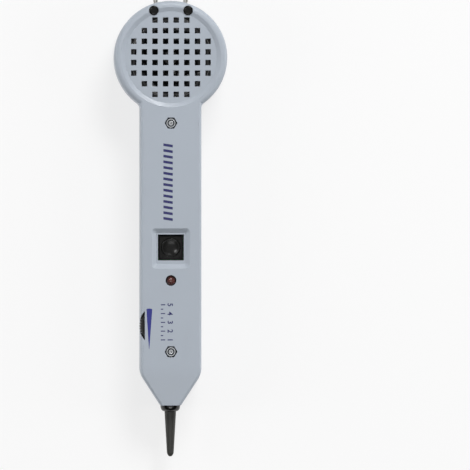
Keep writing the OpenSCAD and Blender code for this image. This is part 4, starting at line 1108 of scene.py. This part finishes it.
class PROBE_OT_battery(bpy.types.Operator):
    """Builds the battery, the snap with its leads, and the foam strip above it"""

    bl_idname = "probe.battery"
    bl_label = "Battery"

    def execute(self, context):
        look = settings("probe_inside")
        low, high, middle = span("battery")
        self.add_can(look, low, high, middle)
        self.add_terminals(high, middle)
        self.add_end_card(low, high)
        self.add_snap()
        self.add_pad(look)
        return {"FINISHED"}

    def add_can(self, look, low, high, middle):
        """A painted can with a band of another colour and a stepped end below the terminals."""
        top = -high.y + 2.1
        step, seam = top + 0.35, top + 9.6
        at = (middle.x, middle.z)
        wide, thick = high.x - low.x, high.z - low.z
        paint_coat = plastic("Battery paint", tuple(look.can_color), 0.36, grain=0.5, depth=0.003, cloud=0.08,
                             edge=0.25, smudge=0.1, scratch=0.12)
        gold = plastic("Battery band", screen(176, 116, 62), 0.28, grain=0.5, depth=0.003, cloud=0.1,
                       edge=0.2, scratch=0.1)
        outline = round_box(wide, thick, 1.6, at)
        can = lying(slab(outline, seam, -low.y, 0.45, 3))
        band = lying(merged(slab(outline, step, seam),
                            slab(round_box(wide - 0.7, thick - 0.7, 1.3, at), top, step)))
        piece("battery_can", can, "case", paint_coat, ["battery"])
        piece("battery_band", band, "case", gold)

    def add_end_card(self, low, high):
        """A thin near-black card from the battery's end up to the switch housing: painted shade for the slit
        around the housing.
        """
        # Near-black card colour: painted shade in the slit above the switch housing.
        card = plastic("Dark shade card", screen(18, 18, 18), 0.8, grain=0.3, depth=0.01, cloud=0.2)
        beyond = span("switch_housing")[1].y
        shape = block((low.x + 0.1, beyond, low.z + 1.1), (high.x - 0.1, low.y - 0.02, high.z - 0.3))
        piece("shade_card", shape, "case", card)

    def add_snap(self):
        """The snap on the terminals and its two leads."""
        cover = plastic("Snap vinyl", screen(26, 26, 27), 0.55, grain=0.6, depth=0.02, cloud=0.15, edge=0.45,
                        dust=0.08)
        from_cad("snap_cover", "battery_snap", "case", cover)
        for hue, color in (("red", (168, 30, 24)), ("black", (24, 24, 26))):
            vinyl = insulation(f"Lead {hue}", color)
            from_cad(f"lead_{hue}", f"battery_lead_{hue}", "case", vinyl, 60, levels=1)

    def add_pad(self, look):
        """A strip of foam with rounded edges, held flat between the battery and the case."""
        low, high, _ = span("battery_pad")
        foam = plastic("Strip foam", screen(34, 34, 36), 0.95, grain=0.9, depth=0.25, cloud=0.35, edge=0.6,
                       dust=0.1)
        pad = piece("foam_strip", block(low, high, 0.6, 4), "case", foam, ["battery_pad"])

    def add_terminals(self, high, middle):
        """A pressed post and a six-leaved stud on their base plates."""
        tin = metal("Terminal plating", screen(196, 194, 186), 0.26, centre=middle, turn=(pi / 2, 0, 0),
                    pitch=0.15)
        out, parts = -high.y, []
        for x, r in ((-6.35, 2.1), (6.35, 1.6)):
            post = soften([(0, out + 0.35), (r - 0.6, out + 0.35, 0.1), (r - 0.5, out, 0.1),
                           (r - 0.2, out, 0.15), (r, out + 0.5, 0.2), (r - 0.15, out + 1.6, 0.1),
                           (r, out + 2.1)], 3)
            bm = turned(post, (0, 0, 0), 48)
            if r > 2:
                for v in bm.verts:
                    v.co.xy *= 1 - 0.04 * (1 - cos(6 * atan2(v.co.y, v.co.x)))
            bmesh.ops.translate(bm, verts=bm.verts, vec=(x * MM, middle.z * MM, 0))
            parts.append(lying(bm))
        piece("battery_posts", merged(*parts), "case", tin)


class PROBE_OT_circuit(bpy.types.Operator):
    """Builds the circuit board and what is soldered to it"""

    bl_idname = "probe.circuit"
    bl_label = "Circuit board"

    def execute(self, context):
        look = settings("probe_inside")
        self.tin = metal("Solder tin", screen(196, 196, 196), 0.28, "drawn", pitch=0.2)
        from_cad("board", "circuit_board", "case", self.lacquer(look))
        self.add_chip()
        self.add_capacitors()
        self.add_resistors()
        self.add_transistor()
        return {"FINISHED"}

    def lacquer(self, look):
        """Green lacquer over copper tracks that run square to each other."""
        made, tree, shader = new_material("Board lacquer")
        where = placed(tree)
        color = tuple(look.board_color)
        grain = use_group(tree, "Moulded grain", vector=where, color=color, size=0.3, roughness=0.3,
                          cloudiness=0.1)
        edges = use_group(tree, "Worn edges", radius=0.15 * MM, wear=0.2)
        marks = use_group(tree, "Hand marks", vector=where, smudges=0.1, scratches=0.03)
        tracks = put(tree, "ShaderNodeTexBrick", {"Vector": where, "Scale": 0.35, "Mortar Size": 0.05,
                                                  "Mortar Smooth": 0.1, "Brick Width": 3.4,
                                                  "Row Height": 1.0},
                     offset=0.4).outputs["Fac"]
        light = mixed(tree, tracks, grain["Color"], tuple(min(1.0, c * 2.6 + 0.01) for c in color[:3]) + (1,))
        tree.links.new(mixed(tree, edges["Mask"], light, screen(150, 150, 96)), shader.inputs["Base Color"])
        tree.links.new(sum_of(tree, "ADD", grain["Roughness"], marks["Change"], use_clamp=True),
                       shader.inputs["Roughness"])
        bump(tree, shader, tracks, 0.03 * MM, normal=edges["Normal"])
        shader.inputs["Coat Weight"].default_value = 0.3
        return made

    def add_chip(self):
        """An eight-legged package with a drafted body, a dimple at one corner and bent legs."""
        low, high, middle = span("amplifier_chip")
        body = block((middle.x - 3.1, low.y, low.z + 0.5), (middle.x + 3.1, high.y, high.z), 0.12, 2)
        waist = (low.z + high.z) / 2 + 0.1
        for v in body.verts:
            draft = 1 - 0.05 * abs(v.co.z / MM - waist)
            v.co.x = middle.x * MM + (v.co.x - middle.x * MM) * draft
            v.co.y = middle.y * MM + (v.co.y - middle.y * MM) * (0.4 + 0.6 * draft)
        dimple = turned([(0, high.z + 0.01), (0.5, high.z + 0.01), (0.62, high.z - 0.05), (0, high.z - 0.05)],
                        (middle.x - 2.1, high.y - 1.1, 0), 24)
        mould = plastic("Package moulding", screen(34, 34, 36), 0.55, grain=0.2, depth=0.01, cloud=0.12,
                        edge=0.1)
        piece("chip_body", merged(body, dimple), "case", mould, ["amplifier_chip"])
        legs = []
        for side in (-1, 1):
            for i in range(4):
                y, x = middle.y + (i - 1.5) * 2.54, middle.x + side * 3.55
                legs.append(block((min(x, middle.x + side * 2.9), y - 0.35, low.z + 2.0),
                                  (max(x, middle.x + side * 2.9), y + 0.35, low.z + 2.2), 0.05, 2))
                legs.append(block((x - 0.12, y - 0.35, low.z + 0.9), (x + 0.12, y + 0.35, low.z + 2.2),
                                  0.05, 2))
                legs.append(block((x - 0.12, y - 0.2, low.z), (x + 0.12, y + 0.2, low.z + 1.0), 0.04, 2))
        piece("chip_legs", merged(*legs), "case", self.tin)

    def add_capacitors(self):
        """Three sleeved cans, each with a rolled groove and a bare top with a cross on it."""
        low, high, _ = span("capacitors")
        r, sleeves, tops = 2.5, [], []
        sleeve = soften([(r - 0.25, low.z), (r - 0.1, low.z), (r - 0.1, low.z + 0.3, 0.1),
                         (r, low.z + 0.55, 0.1), (r, low.z + 0.9, 0.1), (r - 0.28, low.z + 1.2, 0.1),
                         (r, low.z + 1.5, 0.1), (r, high.z - 0.1, 0.2), (r - 0.6, high.z - 0.05, 0.05),
                         (r - 0.62, high.z - 0.3)])
        lid = [(0, high.z - 0.14), (r - 0.7, high.z - 0.14), (r - 0.62, high.z - 0.3), (0, high.z - 0.3)]
        for at in ((high.x - r - 0.6, high.y - r), (low.x + r, high.y - r - 1.0), (high.x - r, low.y + r)):
            sleeves.append(turned(sleeve, (*at, 0), 48))
            tops.append(turned(lid, (*at, 0), 48))
            for turn in (0.5, 0.5 + pi / 2):
                bar = block((-1.5, -0.06, high.z - 0.16), (1.5, 0.06, high.z - 0.1), 0.02, 1)
                bmesh.ops.rotate(bar, verts=bar.verts, cent=(0, 0, 0), matrix=Matrix.Rotation(turn, 3, "Z"))
                bmesh.ops.translate(bar, verts=bar.verts, vec=Vector((*at, 0)) * MM)
                tops.append(bar)
        vinyl = plastic("Capacitor sleeve", screen(34, 52, 126), 0.24, grain=0.5, depth=0.002, cloud=0.08,
                        edge=0.1)
        piece("capacitor_sleeves", merged(*sleeves), "case", vinyl, ["capacitors"])
        piece("capacitor_tops", merged(*tops), "case", self.tin)

    def add_resistors(self):
        """Five dog-bone bodies with painted bands and bent leads."""
        low, high, _ = span("resistors")
        bodies, leads, bands = [], [], []
        z, reach, pitch, outward = low.z + 1.1, 3.55, 3.4, (0, -1, 0)
        upper = [(pitch * (i - 1), high.y - reach) for i in range(3)]
        lower = [(3 + pitch * i, low.y + reach) for i in range(2)]
        outline = [(0, -2.6), (0.45, -2.6), (0.86, -2.4), (0.86, -1.7), (0.72, -1.35), (0.72, 1.35),
                   (0.86, 1.7), (0.86, 2.4), (0.45, 2.6), (0, 2.6)]
        body = soften([(*p, 0.18) for p in outline], 3)
        along = [(0, 2.4), (0.25, 2.4), (0.25, 3.4), (0.1, reach), (0, reach)]
        down = [(0, low.z), (0.25, low.z), (0.25, z - 0.05), (0.15, z + 0.1), (0, z + 0.1)]
        for i, (x, y) in enumerate(upper + lower):
            bodies.append(turned(body, (x, y, z), 28, outward))
            for k, offset in enumerate((-2.05, -0.75, 0.05, 2.05)):
                r = 0.87 if abs(offset) > 1.7 else 0.73
                ring = [(r - 0.05, -0.16), (r, -0.16), (r, 0.16), (r - 0.05, 0.16)]
                bands.append((k + i, turned(ring, (x, y + offset, z), 28, outward)))
            for end in (-1, 1):
                leads.append(turned(along, (x, y, z), 16, (0, end, 0)))
                leads.append(turned(down, (x, y + end * 3.3, 0), 16))
        lacquer = plastic("Resistor lacquer", screen(198, 162, 110), 0.32, grain=0.3, depth=0.003, cloud=0.1,
                          edge=0.1)
        piece("resistor_bodies", merged(*bodies), "case", lacquer, ["resistors"])
        for number, color in enumerate(((120, 30, 22), (214, 128, 30), (40, 36, 34))):
            chosen = [bm for k, bm in bands if k % 3 == number]
            paint_band = plastic(f"Resistor band {number + 1}", screen(*color), 0.35, grain=0.3, depth=0.002)
            piece(f"resistor_bands_{number + 1}", merged(*chosen), "case", paint_band)
        piece("resistor_leads", merged(*leads), "case", self.tin)

    def add_transistor(self):
        """A small package with one flat side, on three legs."""
        low, high, middle = span("transistor")
        r, flat = (high.x - low.x) / 2, 1.2
        x, y = middle.x, low.y + flat
        start = -atan2(flat, sqrt(r * r - flat * flat))
        angles = [start + (pi - 2 * start) * i / 24 for i in range(25)]
        arc = [(x + r * cos(a), y + r * sin(a)) for a in angles]
        mould = plastic("Transistor moulding", screen(36, 36, 37), 0.5, grain=0.2, depth=0.008, cloud=0.12,
                        edge=0.15)
        piece("transistor_body", slab(arc, low.z + 1.2, high.z, 0.18, 3), "case", mould,
              ["transistor"])
        legs = [block((at - 0.2, y + 0.3, low.z), (at + 0.2, y + 0.7, low.z + 1.3), 0.05, 2)
                for at in (x - 1.27, x, x + 1.27)]
        piece("transistor_legs", merged(*legs), "case", self.tin)


class PROBE_OT_marks(bpy.types.Operator):
    """Prints the volume wedge, the dial's ticks and numbers, and a row of plain slanted bars"""

    bl_idname = "probe.marks"
    bl_label = "Printed marks"

    def execute(self, context):
        look = settings("probe_case")
        self.face = span("front_shell")[1].z
        self.thick = look.ink_thickness / MM
        navy = self.ink("Navy ink", tuple(look.mark_color))
        blue = self.ink("Blue ink", tuple(look.wedge_color))
        wedge = self.printed([(-12.6, -129.3), (-11.3, -149.5), (-11.2, -149.8), (-11.1, -149.5),
                              (-9.6, -129.3), (-10.0, -129.05), (-11.1, -128.9), (-12.2, -129.05)])
        piece("wedge", wedge, "case", blue)
        self.add_bars(navy)
        self.add_dial(navy)
        return {"FINISHED"}

    def add_bars(self, navy):
        """A row of slanted bars along the handle."""
        count, pitch, first, left, right = 14, 2.9, -44.2, -3.9, 0.9
        bars = [self.printed([(left, y), (left, y - 1.35), (right, y - 2.1), (right, y - 0.75)])
                for y in (first - i * pitch for i in range(count))]
        piece("slanted_bars", merged(*bars), "case", navy)

    def add_dial(self, navy):
        """Long and short ticks beside the thumbwheel, and a number at each long one."""
        numbers, pitch, first, left, half = 5, 2.25, -127.0, -5.2, 0.25
        ticks = []
        for i in range(2 * numbers - 1):
            y, right = first - i * pitch, left + (2.2 if i % 2 == 0 else 1.2)
            ticks.append(self.printed([(left, y + half), (left, y - half), (right, y - half),
                                       (right, y + half)]))
        piece("dial_ticks", merged(*ticks), "case", navy)
        digits = [self.number(numbers - i, -0.55, first - i * 2 * pitch) for i in range(numbers)]
        piece("dial_numbers", merged(*digits), "case", navy)

    def printed(self, outline):
        """A flat print of one outline on the front face."""
        return slab(outline, self.face, self.face + self.thick)

    def number(self, value, x, y):
        """One plain digit, read with the head to the left, as a thin solid."""
        curve = bpy.data.curves.new("digit", "FONT")
        curve.body = str(value)
        curve.size = 3.7 * MM
        curve.align_x, curve.align_y = "CENTER", "CENTER"
        curve.extrude, curve.offset = self.thick / 2 * MM, 0.07 * MM
        shape = bpy.data.objects.new("digit", curve)
        mesh = bpy.data.meshes.new_from_object(shape)
        bpy.data.objects.remove(shape)
        bm = bmesh.new()
        bm.from_mesh(mesh)
        bpy.data.meshes.remove(mesh)
        bmesh.ops.rotate(bm, verts=bm.verts, cent=(0, 0, 0), matrix=Matrix.Rotation(-pi / 2, 3, "Z"))
        bmesh.ops.translate(bm, verts=bm.verts, vec=(x * MM, y * MM, (self.face + self.thick / 2) * MM))
        return bm

    def ink(self, name, color):
        """Screen printing ink: flat, slightly uneven, worn thin in places."""
        made, tree, shader = new_material(name)
        where = placed(tree)
        grain = use_group(tree, "Moulded grain", vector=where, color=color, size=0.25, roughness=0.42,
                          cloudiness=0.06)
        marks = use_group(tree, "Hand marks", vector=where, smudges=0.06, scratches=0.05)
        rubbed = put(tree, "ShaderNodeTexNoise", {"Vector": where, "Scale": 3.0, "Detail": 5.0,
                                                  "Roughness": 0.7}).outputs[0]
        shell = tuple(settings("probe_case").shell_color)
        tree.links.new(mixed(tree, ranged(tree, rubbed, 0.62, 0.8, 0.0, 0.25), grain["Color"], shell),
                       shader.inputs["Base Color"])
        tree.links.new(sum_of(tree, "ADD", grain["Roughness"], marks["Change"], use_clamp=True),
                       shader.inputs["Roughness"])
        bump(tree, shader, grain["Height"], 0.002 * MM)
        return made


SETTINGS = {
    "probe_case": ProbeCaseSettings,
    "probe_controls": ProbeControlSettings,
    "probe_hardware": ProbeHardwareSettings,
    "probe_inside": ProbeInsideSettings,
    "probe_stage": ProbeStageSettings,
}
STEPS = (PROBE_OT_battery, PROBE_OT_case, PROBE_OT_circuit, PROBE_OT_controls, PROBE_OT_hardware,
         PROBE_OT_lamp, PROBE_OT_marks, PROBE_OT_nose, PROBE_OT_speaker, PROBE_OT_stage)
EFFECTS = (build_grain, build_worn_edges, build_hand_marks, build_turned_lines, build_drawn_streaks,
           build_settled_dust)


class PROBE_PT_panel(bpy.types.Panel):
    """Lists the probe's operators and settings"""

    bl_label = "Wire Tracing Probe"
    bl_idname = "PROBE_PT_panel"
    bl_space_type = "VIEW_3D"
    bl_region_type = "UI"
    bl_category = "Probe"

    def draw(self, context):
        for step in STEPS:
            self.layout.operator(step.bl_idname)
        for name, kind in SETTINGS.items():
            box = self.layout.box()
            box.label(text=kind.__doc__)
            for value in kind.__annotations__:
                box.prop(getattr(context.scene, name), value)


def register():
    """Registers the classes and puts the settings on the scene."""
    for kind in (*SETTINGS.values(), *STEPS, PROBE_PT_panel):
        bpy.utils.register_class(kind)
    for name, kind in SETTINGS.items():
        setattr(bpy.types.Scene, name, PointerProperty(type=kind))


def unregister():
    """Takes the settings and the classes away again."""
    for name in SETTINGS:
        delattr(bpy.types.Scene, name)
    for kind in reversed((*SETTINGS.values(), *STEPS, PROBE_PT_panel)):
        bpy.utils.unregister_class(kind)


def main():
    """Registers the add-on, builds the shared surface effects, every piece and the stage."""
    register()
    for effect in EFFECTS:
        effect()
    for step in STEPS:
        area, call = step.bl_idname.split(".")
        getattr(getattr(bpy.ops, area), call)()


if __name__ == "__main__":
    main()
